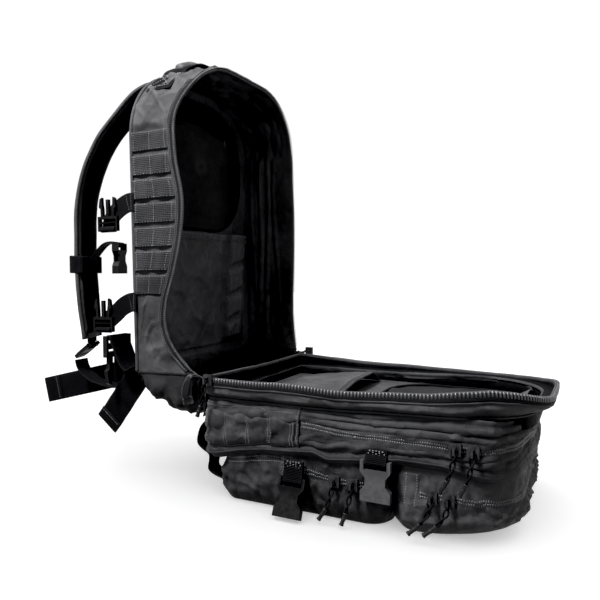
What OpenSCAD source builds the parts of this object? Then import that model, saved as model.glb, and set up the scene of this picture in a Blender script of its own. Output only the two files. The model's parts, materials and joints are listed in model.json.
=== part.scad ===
// Clamshell trauma backpack, lying open: the pocket half rests on the floor, face down,
// and the harness half stands up from a fabric hinge along the pack's bottom edge.
// +X runs along the pack's length, +Y across its width, +Z up. Millimetres.
// The origin is on the floor, in the middle of the pouch row that the pack rests on.

/* [Pack] */
// Length of the zip opening, from the hinge to the top end of the pack
pack_len = 404; // [390:1:420]
// Width over the main compartment's side walls
pack_w = 284; // [270:1:300]
// Radius of the rounded top corners
top_r = 98; // [85:1:110]
// Depth of the harness half, from the zip plane to the back panel
back_d = 96; // [88:1:104]
// How far the harness half hangs below the hinge
sag_h = 52; // [46:1:58]
// Backward lean of the open harness half, in degrees
lean = 1; // [0:0.5:3]
// Thickness of a lined and quilted wall
wall = 3; // [2.5:0.5:4]

/* [Pocket half] */
// Height of the zip plane and of the hinge above the floor
rim_z = 150; // [145:1:155]
// Height of the seam between the main and the second compartment
seam2_z = 113; // [110:1:116]
// Height of the seam between the second compartment and the front pockets
seam1_z = 57; // [55:1:60]
// Centre height of the second compartment's zip
zip2_z = 102; // [98:1:102]
// Centre height of both front pockets' zips
zip1_z = 46; // [44:1:48]
// Distance from the hinge at which the lower front pocket starts
low_x0 = 32; // [28:1:35]
// Distance from the hinge at which the lower front pocket ends
low_x1 = 242; // [236:1:244]
// Distance from the hinge at which the upper front pocket starts
up_x0 = 254; // [252:1:258]

/* [Webbing] */
// Width of the pouch and compression webbing
web_w = 25; // [24:1:26]
// Width of the waist belt webbing
belt_w = 38; // [36:1:40]
// Thickness of webbing
web_t = 1.6; // [1.4:0.1:2]
// Pitch of the pouch rows on the harness half's side walls
row_pitch = 30.5; // [30:0.5:32]
// Width of a shoulder strap
strap_w = 60; // [52:1:64]
// Thickness of a shoulder strap
strap_t = 14; // [10:1:15]

/* [Hidden] */
$fn = 32;

hinge_x = -205;              // the hinge line, seen from the origin
front_x0 = 6;                // where the pocket half's bottom end starts, from the hinge
panel_t = 3;                 // thickness of the back panel and of the compartments' floors
divider_t = 5;               // thickness of the padded divider board
frame_t = 1.2;               // thickness of the frame sheet
pad_t = 10;                  // thickness of the back pads
divider_top = seam2_z + divider_t - panel_t;
pocket_wall = 2.5;           // thickness of a front pocket's wall
tape_t = 1.2;                // thickness of a zip's tape
tape_h = 15;                 // visible width of a closed zip's tape
second_inset = 5;            // how far the second compartment stands in from the main one
second_w = pack_w - 2 * second_inset;
pocket_w = pack_w - 22;      // width of both front pockets
arc_steps = 8;               // straight pieces in a rounded corner
seam_x1 = pack_len - 13;     // top end of the seam between the main and second compartments
seam_w = pack_w - 6;         // width over that seam
lip_h = 15;                  // height of the rim's upright lip, under the zip
second_x1 = pack_len - 16;   // top end of the second compartment
second_r = 44;               // radius of its top corners
up_x1 = pack_len - 26;       // top end of the upper front pocket
up_r = 50;                   // radius of its top corners
tuck_z = 36;                 // height below which the front pockets curve under
low_tuck = 12;               // how far the lower front pocket's sides curve in
up_tuck = 26;                // the same on the upper front pocket
sag_r = 24;                  // radius of the harness half's lower corners, seen from the front
base_r = 14;                 // radius of the pocket half's corners beside the hinge
second_zip_x = 138;          // where the second compartment's zip starts
low_zip_x = 130;             // where the lower front pocket's zip starts
up_zip_x = 280;              // where the upper front pocket's zip starts
coil_t = 2;                  // height of a zip's coil over its wall
bail_out = 10;               // from the wall's outside to a slider's bail
row_x = [for (i = [0:4]) 53 + 38 * i];       // pouch rows on the lower front pocket
up_row_x = [292, 330];                       // pouch rows on the upper front pocket
side_rows = 7;               // pouch rows on a side wall of the harness half
side_row_x0 = 116.5;         // centre of the lowest of them, from the hinge
strap_y = 46;                // half distance between the shoulder straps' top ends
strap_root = -122;           // distance of a strap's top end from the hinge
strap_yaw = 20;              // outward turn of a shoulder strap, in degrees
bar_r = 2.1;                 // radius of a buckle's webbing bar
loop_r = 2.5;                // inner radius of webbing folded round a bar
loop_out = loop_r + web_t + 1;               // from such a bar to the wall its tab is sewn to
cord_r = 1.1;                // radius of a zip pull's cord
play = 0.4;                  // gap between pieces that move past each other

fabric = "#1b1b1c";
webbing = "#202021";
mesh = "#0f0f10";
plastic = "#2a2a2c";
lining = "#262627";

// ---------------------------------------------------------------- outlines

function corner(cx, cy, r, a0) =
    [for (i = [0:arc_steps]) let (a = a0 + 90 * i / arc_steps) [cx + r * cos(a), cy + r * sin(a)]];

// The pack's outline: square-ish at the bottom end x0, arched at the top end x1
function arch(x0, x1, w, rt, rb) = concat(
    corner(x1 - rt, w / 2 - rt, rt, 0), corner(x0 + rb, w / 2 - rb, rb, 90),
    corner(x0 + rb, rb - w / 2, rb, 180), corner(x1 - rt, rt - w / 2, rt, 270));

// The same outline, moved in by d
function arch_in(x0, x1, w, rt, rb, d) = arch(x0 + d, x1 - d, w - 2 * d, rt - d, rb - d);

function box_round(x, y, r) = concat(
    corner(x / 2 - r, y / 2 - r, r, 0), corner(r - x / 2, y / 2 - r, r, 90),
    corner(r - x / 2, r - y / 2, r, 180), corner(x / 2 - r, r - y / 2, r, 270));

// A smooth line through the points, with n pieces between each two (Catmull-Rom)
function spline(p, n) = [
    for (i = [0:len(p) - 2]) let (
        a = p[max(i - 1, 0)], b = p[i], c = p[i + 1], d = p[min(i + 2, len(p) - 1)])
        for (k = [0:n - 1]) let (t = k / n)
            0.5 * (2 * b + (c - a) * t + (2 * a - 5 * b + 4 * c - d) * t * t
                + (3 * b - a - 3 * c + d) * t * t * t),
    p[len(p) - 1]];

function unit(v) = v / norm(v);
function normal_at(p, i) = let (v = unit(p[min(i + 1, len(p) - 1)] - p[max(i - 1, 0)])) [-v.y, v.x];

// A band of thickness t along the line p
function ribbon(p, t) = concat(
    [for (i = [0:len(p) - 1]) p[i] + normal_at(p, i) * t / 2],
    [for (i = [len(p) - 1:-1:0]) p[i] - normal_at(p, i) * t / 2]);

module band(z0, z1, x0, x1, w, rt, rb, t) {
    translate([0, 0, z0]) linear_extrude(z1 - z0) difference() {
        polygon(arch(x0, x1, w, rt, rb));
        polygon(arch_in(x0, x1, w, rt, rb, t));
    }
}

module plate(z0, z1, x0, x1, w, rt, rb) {
    translate([0, 0, z0]) linear_extrude(z1 - z0) polygon(arch(x0, x1, w, rt, rb));
}

// A zip's tape and coil, laid on the outside of a wall from x = start to the top end
module zip_band(z, start, x0, x1, w, rt, rb) {
    for (part = [[tape_h, tape_t], [5, tape_t + 0.8]])
        translate([0, 0, z - part[0] / 2]) linear_extrude(part[0]) intersection() {
            difference() {
                polygon(arch_in(x0, x1, w, rt, rb, -part[1]));
                polygon(arch(x0, x1, w, rt, rb));
            }
            translate([start, -w]) square([x1, 2 * w]);
        }
}

// ---------------------------------------------------------------- frames

// Pocket half: x from the hinge towards the pack's top, z up from the floor
module on_front() translate([hinge_x, 0, 0]) children();

// Harness half: x from the hinge towards the pack's top, z from the zip plane to the back panel
module on_back() translate([hinge_x, 0, rim_z]) rotate([0, -90 - lean, 0]) children();

// ---------------------------------------------------------------- pocket half

// The main compartment's wall: it widens from its seam to an upright lip under the zip
module front_gusset() color(fabric) on_front() {
    lip_z = rim_z - 1.5 - lip_h;
    band(lip_z, rim_z - 1.5, front_x0, pack_len, pack_w, top_r, base_r, wall);
    difference() {
        hull() {
            plate(seam2_z, seam2_z + 0.1, front_x0, seam_x1, seam_w, top_r - 8, base_r);
            plate(lip_z - 0.1, lip_z, front_x0, pack_len, pack_w, top_r, base_r);
        }
        hull() {
            plate(seam2_z - 1, seam2_z + 0.1, front_x0 + wall, seam_x1 - wall,
                  seam_w - 2 * wall, top_r - 8 - wall, base_r - wall);
            plate(lip_z - 0.1, lip_z + 1, front_x0 + wall, pack_len - wall,
                  pack_w - 2 * wall, top_r - wall, base_r - wall);
        }
    }
}

// The padded board between the compartments: its edge is sewn in under the gusset
module divider_panel() color(lining) on_front() {
    pad_in = wall + 0.6;
    plate(seam2_z - panel_t, seam2_z, front_x0, seam_x1, seam_w, top_r - 8, base_r);
    translate([0, 0, seam2_z]) linear_extrude(divider_t - panel_t)
        polygon(arch_in(front_x0, seam_x1, seam_w, top_r - 8, base_r, pad_in));
}

module divider_slip_pocket() color(lining) on_front() translate([98, 0, divider_top])
    linear_extrude(2.4) polygon(box_round(160, 236, 12));

module divider_mesh_pocket() color(mesh) on_front() translate([276, 0, divider_top])
    linear_extrude(2) polygon(box_round(180, 216, 60));

// The chain's tape along the rim of a half, from z0 up
module rim_tape(z0, x0, rb) translate([0, 0, z0]) linear_extrude(tape_h - 2) difference() {
    polygon(arch_in(x0, pack_len, pack_w, top_r, rb, -tape_t));
    polygon(arch(x0, pack_len, pack_w, top_r, rb));
}

module main_zip_front() color(webbing) on_front()
    rim_tape(rim_z - 1.5 - (tape_h - 2), front_x0, base_r);

module second_compartment() color(fabric) on_front() {
    x0 = front_x0 + 2;
    plate(seam1_z, seam1_z + panel_t, x0, second_x1, second_w, second_r, base_r);
    band(seam1_z + panel_t, seam2_z - panel_t, x0, second_x1, second_w, second_r, base_r, wall);
}

// A front pocket: an upright wall, which curves under towards the pocket's face
module pocket_shell(x0, x1, rt, tuck) {
    face_x1 = x1 - tuck / 2;
    face_w = pocket_w - 2 * tuck;
    d = pocket_wall;
    band(tuck_z, seam1_z, x0, x1, pocket_w, rt, base_r, d);
    difference() {
        hull() {
            plate(web_t, web_t + 0.1, x0 + 3, face_x1, face_w, rt - 6, base_r);
            plate(tuck_z - 0.1, tuck_z, x0, x1, pocket_w, rt, base_r);
        }
        hull() {
            plate(web_t + panel_t, web_t + panel_t + 0.1, x0 + 3 + d, face_x1 - d,
                  face_w - 2 * d, rt - 6 - d, base_r - d);
            plate(tuck_z - 0.1, tuck_z + 1, x0 + d, x1 - d, pocket_w - 2 * d, rt - d, base_r - d);
        }
    }
}

module lower_pocket() color(fabric) on_front() pocket_shell(low_x0, low_x1, 30, low_tuck);

module upper_pocket() color(fabric) on_front() pocket_shell(up_x0, up_x1, up_r, up_tuck);

module pocket_zips() color(webbing) on_front() {
    zip_band(zip2_z, second_zip_x, front_x0 + 2, second_x1, second_w, second_r, base_r);
    zip_band(zip1_z, low_zip_x, low_x0, low_x1, pocket_w, 30, base_r);
    zip_band(zip1_z, up_zip_x, up_x0, up_x1, pocket_w, up_r, base_r);
}

// Pouch rows on the pockets' faces, and one row on each side of the second compartment
module front_pouch_webbing() color(webbing) on_front() {
    for (x = row_x) translate([x - web_w / 2, -100, 0]) cube([web_w, 200, web_t]);
    for (x = up_row_x) translate([x - web_w / 2, -80, 0]) cube([web_w, 160, web_t]);
    for (s = [-1, 1])
        translate([22, s * (second_w + web_t) / 2 - web_t / 2, seam1_z + 26])
            cube([108, web_t, web_w]);
}

// Two lash straps on the pack's bottom end, hanging in front of the pockets
module bottom_lash_straps() color(webbing) on_front() {
    hang = spline([[7.2, 95], [-3, 90], [-10, 78], [-12.5, 64], [-6, 56], [4, 50], [5, 42],
                   [4, 31], [12, 25], [25, 22]], 3);
    for (y = [-124, 99])
        translate([0, y + web_w, 0]) rotate([90, 0, 0]) linear_extrude(web_w)
            polygon(ribbon(hang, web_t));
}

// ---------------------------------------------------------------- fabric hinge

// The bottom panel's line, from the back panel down and forward to the zip plane
sag_line = spline([[1, back_d], [-14, 80], [-32, 65], [6 - sag_h, 48], [1 - sag_h, 18], [-sag_h, 2]], 4);

// The space under the line, out to where the zip plane would be
module sag_profile(line) translate([0, pack_w, 0]) rotate([90, 0, 0]) linear_extrude(2 * pack_w)
    polygon(concat(line, [[20, -9], [20, back_d + 20]]));

// The bottom panel and lower corners, with the fold that is sewn to the pocket half
module hinge_gusset() color(fabric) {
    inner = concat([[40, back_d - wall]],
        [for (i = [1:len(sag_line) - 2]) sag_line[i] + normal_at(sag_line, i) * -wall],
        [[wall - sag_h, -8]]);
    on_back() intersection() {
        difference() {
            intersection() {
                plate(2, back_d, -sag_h, 250, pack_w, 30, sag_r);
                sag_profile(sag_line);
            }
            intersection() {
                plate(-9, back_d, wall - sag_h, 250, pack_w - 2 * wall, 30, sag_r - wall);
                sag_profile(inner);
            }
        }
        translate([-100, -200, 0]) cube([101, 400, 200]);
    }
    fold = [[-0.6, rim_z - sag_h + 3], [1.6, 108], [3.2, 120], [4.2, rim_z - 19]];
    on_front() translate([0, 100, 0]) rotate([90, 0, 0]) linear_extrude(200)
        polygon(ribbon(spline(fold, 3), 2));
}

// ---------------------------------------------------------------- harness half

// What of the harness half lies above the hinge
module above_hinge() intersection() {
    children();
    translate([1.3, -200, 0]) cube([2 * pack_len, 400, 4 * back_d]);
}

module back_gusset() color(fabric) on_back() above_hinge()
    band(1.5, back_d - panel_t, -sag_h, pack_len, pack_w, top_r, sag_r, wall);

module back_panel() color(fabric) on_back() above_hinge()
    plate(back_d - panel_t, back_d, -sag_h, pack_len, pack_w, top_r, sag_r);

module frame_sheet() color("#d8d8d2") on_back()
    plate(back_d - panel_t - frame_t, back_d - panel_t, 12, pack_len - 12, pack_w - 26, 84, 30);

// Air-mesh pads: two pairs and one lumbar pad
module back_pads() color(mesh) on_back() {
    for (s = [-1, 1]) {
        translate([288, s * 62, back_d]) linear_extrude(pad_t) polygon(box_round(132, 96, 22));
        translate([160, s * 62, back_d]) linear_extrude(pad_t) polygon(box_round(112, 96, 20));
    }
    translate([66, 0, back_d]) linear_extrude(pad_t) polygon(box_round(60, 190, 24));
}

module main_zip_back() color(webbing) on_back() above_hinge() rim_tape(1.5, -sag_h, sag_r);

module hydration_sleeve() color(lining) on_back() translate([102, 0, back_d - panel_t - frame_t - 2.4])
    linear_extrude(2.4) polygon(box_round(164, 240, 14));

module lining_mesh_pocket() color(mesh) on_back() translate([290, 0, back_d - panel_t - frame_t - 2])
    linear_extrude(2) polygon(box_round(190, 226, 80));

module side_pouch_webbing() color(webbing) on_back()
    for (s = [-1, 1], i = [0:side_rows - 1])
        translate([side_row_x0 + i * row_pitch - web_w / 2,
                   s * (pack_w + web_t) / 2 - web_t / 2, 16])
            cube([web_w, web_t, back_d - panel_t - 16]);

// Carry handle: webbing sewn round the top corners, arched between them
module grab_handle() color(webbing) on_back() {
    sewn = [for (a = [64, 56, 48, 40]) [
        pack_len - top_r + (top_r + 1.7) * cos(a), (top_r + 1.7) * sin(a) + pack_w / 2 - top_r]];
    half = concat(sewn, [[396, 92], [412, 68], [421, 38]]);
    n = len(half) - 1;
    line = concat(half, [for (i = [0:n]) [half[n - i].x, -half[n - i].y]]);
    translate([0, 0, 20]) linear_extrude(belt_w) polygon(ribbon(spline(line, 3), 3));
}

// ---------------------------------------------------------------- buckles and bars

// Webbing folded round a bar that runs along X, with its doubled tab going up
module web_loop(w, tab) {
    difference() {
        rotate([0, 90, 0]) cylinder(h = w, r = loop_r + web_t, center = true);
        rotate([0, 90, 0]) cylinder(h = w + 1, r = loop_r, center = true);
    }
    translate([-w / 2, loop_out - 2 * web_t, loop_r + 0.6]) cube([w, 2 * web_t, tab - loop_r - 0.6]);
}

// Female half of a side-release buckle. Its bar is on X, and its mouth faces down
module buckle_female(w, t) {
    s = w / 25;
    wide = w / 2 + 4.5;
    difference() {
        rotate([90, 0, 0]) translate([0, 0, -t / 2]) linear_extrude(t) polygon([
            [-wide, 2.6], [-wide, -9 * s], [-wide + 5.5, -16 * s], [-wide + 5.5, -24 * s],
            [-wide, -31 * s], [-wide, -42 * s], [wide, -42 * s],
            [wide, -31 * s], [wide - 5.5, -24 * s], [wide - 5.5, -16 * s],
            [wide, -9 * s], [wide, 2.6]]);
        translate([-w / 2 - 0.6, -t, -7.4]) cube([w + 1.2, 2 * t, 20]);
        translate([-w / 2 + 0.5, 1.8 - t / 2, -50 * s]) cube([w - 1, t - 3.6, 36 * s]);
    }
    rotate([0, 90, 0]) cylinder(h = w + 4, r = bar_r, center = true);
}

// Male half: its bar is on X, and its prongs point up
module buckle_male(w, t) {
    s = w / 25;
    wide = w / 2 + 4;
    rotate([0, 90, 0]) cylinder(h = w + 4, r = bar_r, center = true);
    difference() {
        translate([-wide, -t / 2, -2.6]) cube([2 * wide, t, 2.6 + 17 * s]);
        translate([-w / 2 - 0.6, -t, -5]) cube([w + 1.2, 2 * t, 12.4]);
        translate([-w / 2 - 0.6, -t, 10 * s]) cube([w + 1.2, 2 * t, 3.4]);
    }
    translate([-2.4 * s, 0.6 - t / 2, 17 * s]) cube([4.8 * s, t - 1.2, 22 * s]);
    for (m = [0, 1]) mirror([m, 0, 0]) rotate([90, 0, 0])
        translate([0, 0, 0.4 - t / 2]) linear_extrude(t - 0.8) polygon([
            [7.6 * s, 17 * s], [11.4 * s, 17 * s], [11.8 * s, 27 * s], [14.6 * s, 29 * s],
            [12.8 * s, 40 * s], [9.4 * s, 42 * s], [9 * s, 33 * s], [8 * s, 27 * s]]);
}

// Ladder lock: its strap bar is on X, with the webbing slot and the lift tab below it
module ladder_lock() {
    difference() {
        rotate([90, 0, 0]) translate([0, 0, -2.5]) linear_extrude(5) polygon([
            [-17, 4], [17, 4], [17, -18], [13, -27], [-13, -27], [-17, -18]]);
        translate([-13.2, -10, -7.2]) cube([26.4, 20, 20]);
        translate([-13.2, -10, -20.5]) cube([26.4, 20, 5]);
    }
    rotate([0, 90, 0]) cylinder(h = 30, r = bar_r, center = true);
}

// ---------------------------------------------------------------- compression buckles

// The four female halves hang from tabs on the pocket half. A place is the distance from
// the hinge, the bar's height, the tab's length and the buckle's outward tilt.
upper_place = [234, 76, 14, 0];
lower_place = [134, 42, 22, 24];
bar_y = second_w / 2 + loop_out;

module at_front_bar(s, p) on_front() translate([p[0], s * bar_y, p[1]])
    rotate([0, 0, s < 0 ? 0 : 180]) children();

module front_buckle_loops() color(webbing)
    for (s = [-1, 1], p = [upper_place, lower_place])
        at_front_bar(s, p) web_loop(web_w, p[2]);

module compression_female(s, p) color(plastic) at_front_bar(s, p)
    rotate([-p[3], 0, 0]) buckle_female(web_w, 8);

// The four male halves stand on short straps from the back panel's seam. A place is the
// seam's distance from the hinge, the depth of the male half's middle, and how far its
// bar hangs below the seam.
upper_strap = [222, 132, 32];
lower_strap = [93, 145, 36];
male_y = pack_w / 2 + 4.5;

module at_male(s, p) on_back() translate([p[0] - p[2], s * male_y, p[1]]) children();

module compression_straps() color(webbing) for (s = [-1, 1], p = [upper_strap, lower_strap]) {
    on_back() translate([0, s * (pack_w + web_t) / 2 + web_t / 2, 0]) rotate([90, 0, 0])
        linear_extrude(web_t) polygon([
            [p[0] - 12, back_d - panel_t], [p[0] + 13, back_d - panel_t], [p[0] + 13, back_d + 2],
            [p[0] - 16, p[1] + web_w / 2], [p[0] - p[2], p[1] + web_w / 2],
            [p[0] - p[2], p[1] - web_w / 2], [p[0] - p[2] + 9, p[1] - web_w / 2],
            [p[0] - 14, back_d + 10]]);
    at_male(s, p) difference() {
        cylinder(h = web_w, r = loop_r + web_t, center = true);
        cylinder(h = web_w + 1, r = loop_r, center = true);
    }
}

module compression_male(s, p) color(plastic) at_male(s, p)
    rotate([0, 90, 0]) buckle_male(web_w, 5);

// ---------------------------------------------------------------- shoulder harness

// Middle line of a shoulder strap in its own plane: distance behind the hinge, height
strap_line = [[-122, 522], [-122.5, 535], [-129, 543], [-142, 540], [-158, 530], [-182, 504],
              [-209, 471], [-228, 433], [-239, 396], [-243, 366], [-243.5, 340], [-244, 312],
              [-243, 275], [-240, 230], [-236, 184]];
lock_place = [-236, 173];    // the ladder lock's strap bar
lock_tilt = 50;              // its backward tilt, in degrees
low_web_y = 94;              // half distance between the lower strap webbings

// The upright plane of a shoulder strap, turned outward about its top end
module strap_plane(s) translate([hinge_x + strap_root, s * strap_y, 0])
    rotate([0, 0, -s * strap_yaw]) translate([-strap_root, 0, 0]) children();

// A band of width w, with its middle line in the X-Z plane
module strip(line, w, t) translate([0, w / 2, 0]) rotate([90, 0, 0]) linear_extrude(w)
    polygon(ribbon(line, t));

// Webbing folded round a bar that runs along Y
module bar_loop(p, w) translate([p.x, 0, p[1]]) rotate([90, 0, 0]) difference() {
    cylinder(h = w, r = loop_r + web_t, center = true);
    cylinder(h = w + 1, r = loop_r, center = true);
}

module shoulder_strap(s) color(fabric) strap_plane(s) {
    strip(spline(strap_line, 3), strap_w, strap_t);
    bar_loop(lock_place, web_w);
    translate([lock_place.x - web_t, -web_w / 2, lock_place[1] + loop_r + 0.5])
        cube([2 * web_t, web_w, 8.5]);
}

module ladder_lock_at(s) color(plastic) strap_plane(s)
    translate([lock_place.x, 0, lock_place[1]]) rotate([0, lock_tilt, 0]) rotate([0, 0, 90])
        ladder_lock();

// Webbing from each ladder lock to the pack's lower corner
module lower_strap_webbing() color(webbing) for (s = [-1, 1])
    translate([hinge_x, s * low_web_y, 0])
        strip(spline([[-243, 152], [-238, 138], [-210, 122], [-170, 117], [-132, 128], [-101, 150]], 4),
              web_w, web_t);

// ---------------------------------------------------------------- sternum strap

keeper_place = [-243.6, 292];  // a keeper's middle, in its strap's plane
keeper_lean = 1.5;           // the straps' lean there, in degrees
sternum_near_bar = [-192, 321];
sternum_far_bar = [-200, 290];

// A keeper of webbing round a shoulder strap
module keeper() translate([keeper_place.x, 0, keeper_place[1]]) rotate([0, -keeper_lean, 0])
    translate([0, 0, -web_w / 2]) linear_extrude(web_w) difference() {
        square([strap_t + 9, strap_w + 8], center = true);
        square([strap_t + 5, strap_w + 4], center = true);
    }

module sternum_half(line, bar) {
    keeper();
    strip(spline(line, 3), web_w, web_t);
    bar_loop(bar, web_w);
}

module sternum_webbing_near() color(webbing) strap_plane(-1) sternum_half(
    [[-234, 296], [-226, 308], [-214, 321], [-203, 325], [-192, 324.3]], sternum_near_bar);

module sternum_buckle_female() color(plastic) strap_plane(-1)
    translate([sternum_near_bar.x, 0, sternum_near_bar[1]]) rotate([0, 0, 90])
        buckle_female(web_w, 9);

module sternum_webbing_far() color(webbing) strap_plane(1) sternum_half(
    [[-234, 294], [-226, 300], [-214, 301], [-207, 298], [-200, 293.3]], sternum_far_bar);

module sternum_buckle_male() color(plastic) strap_plane(1)
    translate([sternum_far_bar.x, 0, sternum_far_bar[1]]) rotate([0, 0, 90]) rotate([180, 0, 0])
        buckle_male(web_w, 5);

// ---------------------------------------------------------------- waist belt

belt_near_y = -131;
belt_far_y = 50;
near_bar = [-138, 194];      // bar of the waist buckle's male half
far_bar = [-128, 138];       // bar of its female half

// A belt's free end, flat in the X-Z plane, from a to b
module belt_tail(a, b) {
    side = [-(b - a)[1], (b - a).x] / norm(b - a) * belt_w / 2;
    translate([0, web_t / 2, 0]) rotate([90, 0, 0]) linear_extrude(web_t)
        polygon([a + side, b + side, b - side, a - side]);
}

module waist_belt_near() color(webbing) translate([hinge_x, belt_near_y, 0]) {
    strip(spline([[-99, 157], [-108, 152], [-117, 157], [-124, 169], [-130, 182], [-134.7, 194]], 3),
          belt_w, web_t);
    bar_loop(near_bar, belt_w);
    belt_tail([-103, 144], [-156, 74]);
}

module waist_buckle_male() color(plastic) translate([hinge_x, belt_near_y, 0])
    translate([near_bar.x, 0, near_bar[1]]) rotate([0, 0, 90]) rotate([180, 0, 0])
        buckle_male(belt_w, 7);

// The far half's free end crosses behind the pack, and droops towards its tip
module waist_belt_far() color(webbing) translate([hinge_x, 0, 0]) {
    translate([0, belt_far_y, 0]) {
        strip(spline([[-99, 157], [-110, 157], [-120, 150], [-124.7, 138]], 3), belt_w, web_t);
        bar_loop(far_bar, belt_w);
    }
    route = [[-100, 60], [-102, 40], [-107, 22], [-127, 4], [-190, -34], [-240, -68], [-319, -90]];
    translate([-103, 0, 152]) rotate([0, -14, 0]) translate([103, 0, -belt_w / 2])
        linear_extrude(belt_w) polygon(ribbon(spline(route, 3), web_t));
}

module waist_buckle_female() color(plastic) translate([hinge_x, belt_far_y, 0])
    translate([far_bar.x, 0, far_bar[1]]) rotate([0, 0, 90]) buckle_female(belt_w, 11);

// ---------------------------------------------------------------- zip sliders and pulls

// A place is the distance from the hinge, the zip's height and the wall's outside
main_place = [20, rim_z, pack_w / 2 + tape_t];
second_rear_place = [318, zip2_z, second_w / 2 + coil_t];
second_front_place = [336, zip2_z, second_w / 2 + coil_t];
lower_rear_place = [183, zip1_z, pocket_w / 2 + coil_t];
lower_front_place = [205, zip1_z, pocket_w / 2 + coil_t];
upper_rear_place = [293, zip1_z, pocket_w / 2 + coil_t];
upper_front_place = [311, zip1_z, pocket_w / 2 + coil_t];
pocket_pull_tilt = 12;       // the pockets' pulls lean out, with their tips by the floor

module at_zip(s, p) on_front() translate([p[0], s * p[2], p[1]])
    rotate([0, 0, s < 0 ? 0 : 180]) children();

module zip_slider(s, p) color(plastic) at_zip(s, p) {
    translate([-6, -play - 4.4, -6.5]) cube([12, 4.4, 13]);
    difference() {
        translate([-1.2, -bail_out - 2.8, -3.6]) cube([2.4, bail_out - play - 1.6, 7.2]);
        translate([0, -bail_out, 0]) rotate([0, 90, 0]) cylinder(h = 9, r = 1.9, center = true);
    }
}

// A cord loop through the slider's bail, with a moulded grip on its end
module zip_pull(s, p, length, tilt) color(plastic) at_zip(s, p)
    translate([0, -bail_out, 0]) rotate([-tilt, 0, 0]) {
        rotate([0, 90, 0]) cylinder(h = 8, r = cord_r, center = true);
        for (x = [-4, 4]) translate([x, 0, 26 - length]) cylinder(h = length - 26, r = cord_r);
        for (x = [-4, 4]) translate([x, 0, 0]) sphere(r = cord_r);
        translate([-5.5, -2, -length]) cube([11, 4, 27]);
    }

// ---------------------------------------------------------------- node calls

front_gusset();
divider_panel();
divider_slip_pocket();
divider_mesh_pocket();
main_zip_front();
second_compartment();
lower_pocket();
upper_pocket();
pocket_zips();
front_pouch_webbing();
bottom_lash_straps();
front_buckle_loops();
hinge_gusset();
back_gusset();
back_panel();
frame_sheet();
back_pads();
main_zip_back();
hydration_sleeve();
lining_mesh_pocket();
side_pouch_webbing();
grab_handle();
compression_straps();
shoulder_strap(-1);  // shoulder_strap_near
shoulder_strap(1);  // shoulder_strap_far
ladder_lock_at(-1);  // ladder_lock_near
ladder_lock_at(1);  // ladder_lock_far
lower_strap_webbing();
sternum_webbing_near();
sternum_webbing_far();
sternum_buckle_female();
sternum_buckle_male();
waist_belt_near();
waist_belt_far();
waist_buckle_male();
waist_buckle_female();
compression_female(-1, upper_place);  // compression_female_near_upper
compression_female(-1, lower_place);  // compression_female_near_lower
compression_female(1, upper_place);  // compression_female_far_upper
compression_female(1, lower_place);  // compression_female_far_lower
compression_male(-1, upper_strap);  // compression_male_near_upper
compression_male(-1, lower_strap);  // compression_male_near_lower
compression_male(1, upper_strap);  // compression_male_far_upper
compression_male(1, lower_strap);  // compression_male_far_lower
zip_slider(-1, main_place);  // main_slider_near
zip_slider(1, main_place);  // main_slider_far
zip_slider(-1, second_rear_place);  // second_slider_rear
zip_slider(-1, second_front_place);  // second_slider_front
zip_slider(-1, lower_rear_place);  // lower_slider_rear
zip_slider(-1, lower_front_place);  // lower_slider_front
zip_slider(-1, upper_rear_place);  // upper_slider_rear
zip_slider(-1, upper_front_place);  // upper_slider_front
zip_pull(-1, main_place, 46, 0);  // main_pull_near
zip_pull(1, main_place, 46, 0);  // main_pull_far
zip_pull(-1, second_rear_place, 46, 0);  // second_pull_rear
zip_pull(-1, second_front_place, 46, 0);  // second_pull_front
zip_pull(-1, lower_rear_place, 43, pocket_pull_tilt);  // lower_pull_rear
zip_pull(-1, lower_front_place, 43, pocket_pull_tilt);  // lower_pull_front
zip_pull(-1, upper_rear_place, 43, pocket_pull_tilt);  // upper_pull_rear
zip_pull(-1, upper_front_place, 43, pocket_pull_tilt);  // upper_pull_front
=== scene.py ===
"""Clamshell trauma backpack, lying open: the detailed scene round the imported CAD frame.

Lengths are in millimetres. Each half is drawn in its own frame, with x from the hinge to the pack's
top end and y across it: the pocket half's z is the height above the floor, and the harness half's
is the depth behind the zip's plane. On a surface, s runs along it and t across it."""
import json
import math
import bpy
import bmesh
import numpy as np
from mathutils import Matrix, Vector, noise


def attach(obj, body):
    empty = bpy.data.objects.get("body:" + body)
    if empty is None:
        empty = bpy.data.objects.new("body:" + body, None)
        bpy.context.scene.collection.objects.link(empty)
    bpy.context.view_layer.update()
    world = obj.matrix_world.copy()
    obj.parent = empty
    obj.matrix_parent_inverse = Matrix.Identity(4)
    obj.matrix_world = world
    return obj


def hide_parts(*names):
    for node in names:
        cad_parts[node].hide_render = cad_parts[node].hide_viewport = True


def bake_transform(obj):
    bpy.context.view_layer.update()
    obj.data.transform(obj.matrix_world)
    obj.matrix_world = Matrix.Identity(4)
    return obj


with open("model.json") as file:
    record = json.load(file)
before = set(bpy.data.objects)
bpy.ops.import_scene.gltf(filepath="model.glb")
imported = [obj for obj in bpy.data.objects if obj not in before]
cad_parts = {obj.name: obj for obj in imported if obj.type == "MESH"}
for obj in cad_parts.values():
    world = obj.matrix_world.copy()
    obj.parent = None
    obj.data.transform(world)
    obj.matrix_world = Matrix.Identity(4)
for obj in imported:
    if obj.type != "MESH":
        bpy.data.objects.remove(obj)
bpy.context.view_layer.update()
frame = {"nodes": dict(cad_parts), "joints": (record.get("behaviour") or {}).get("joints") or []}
JOINTS = {joint["name"]: joint for joint in frame["joints"]}

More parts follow.
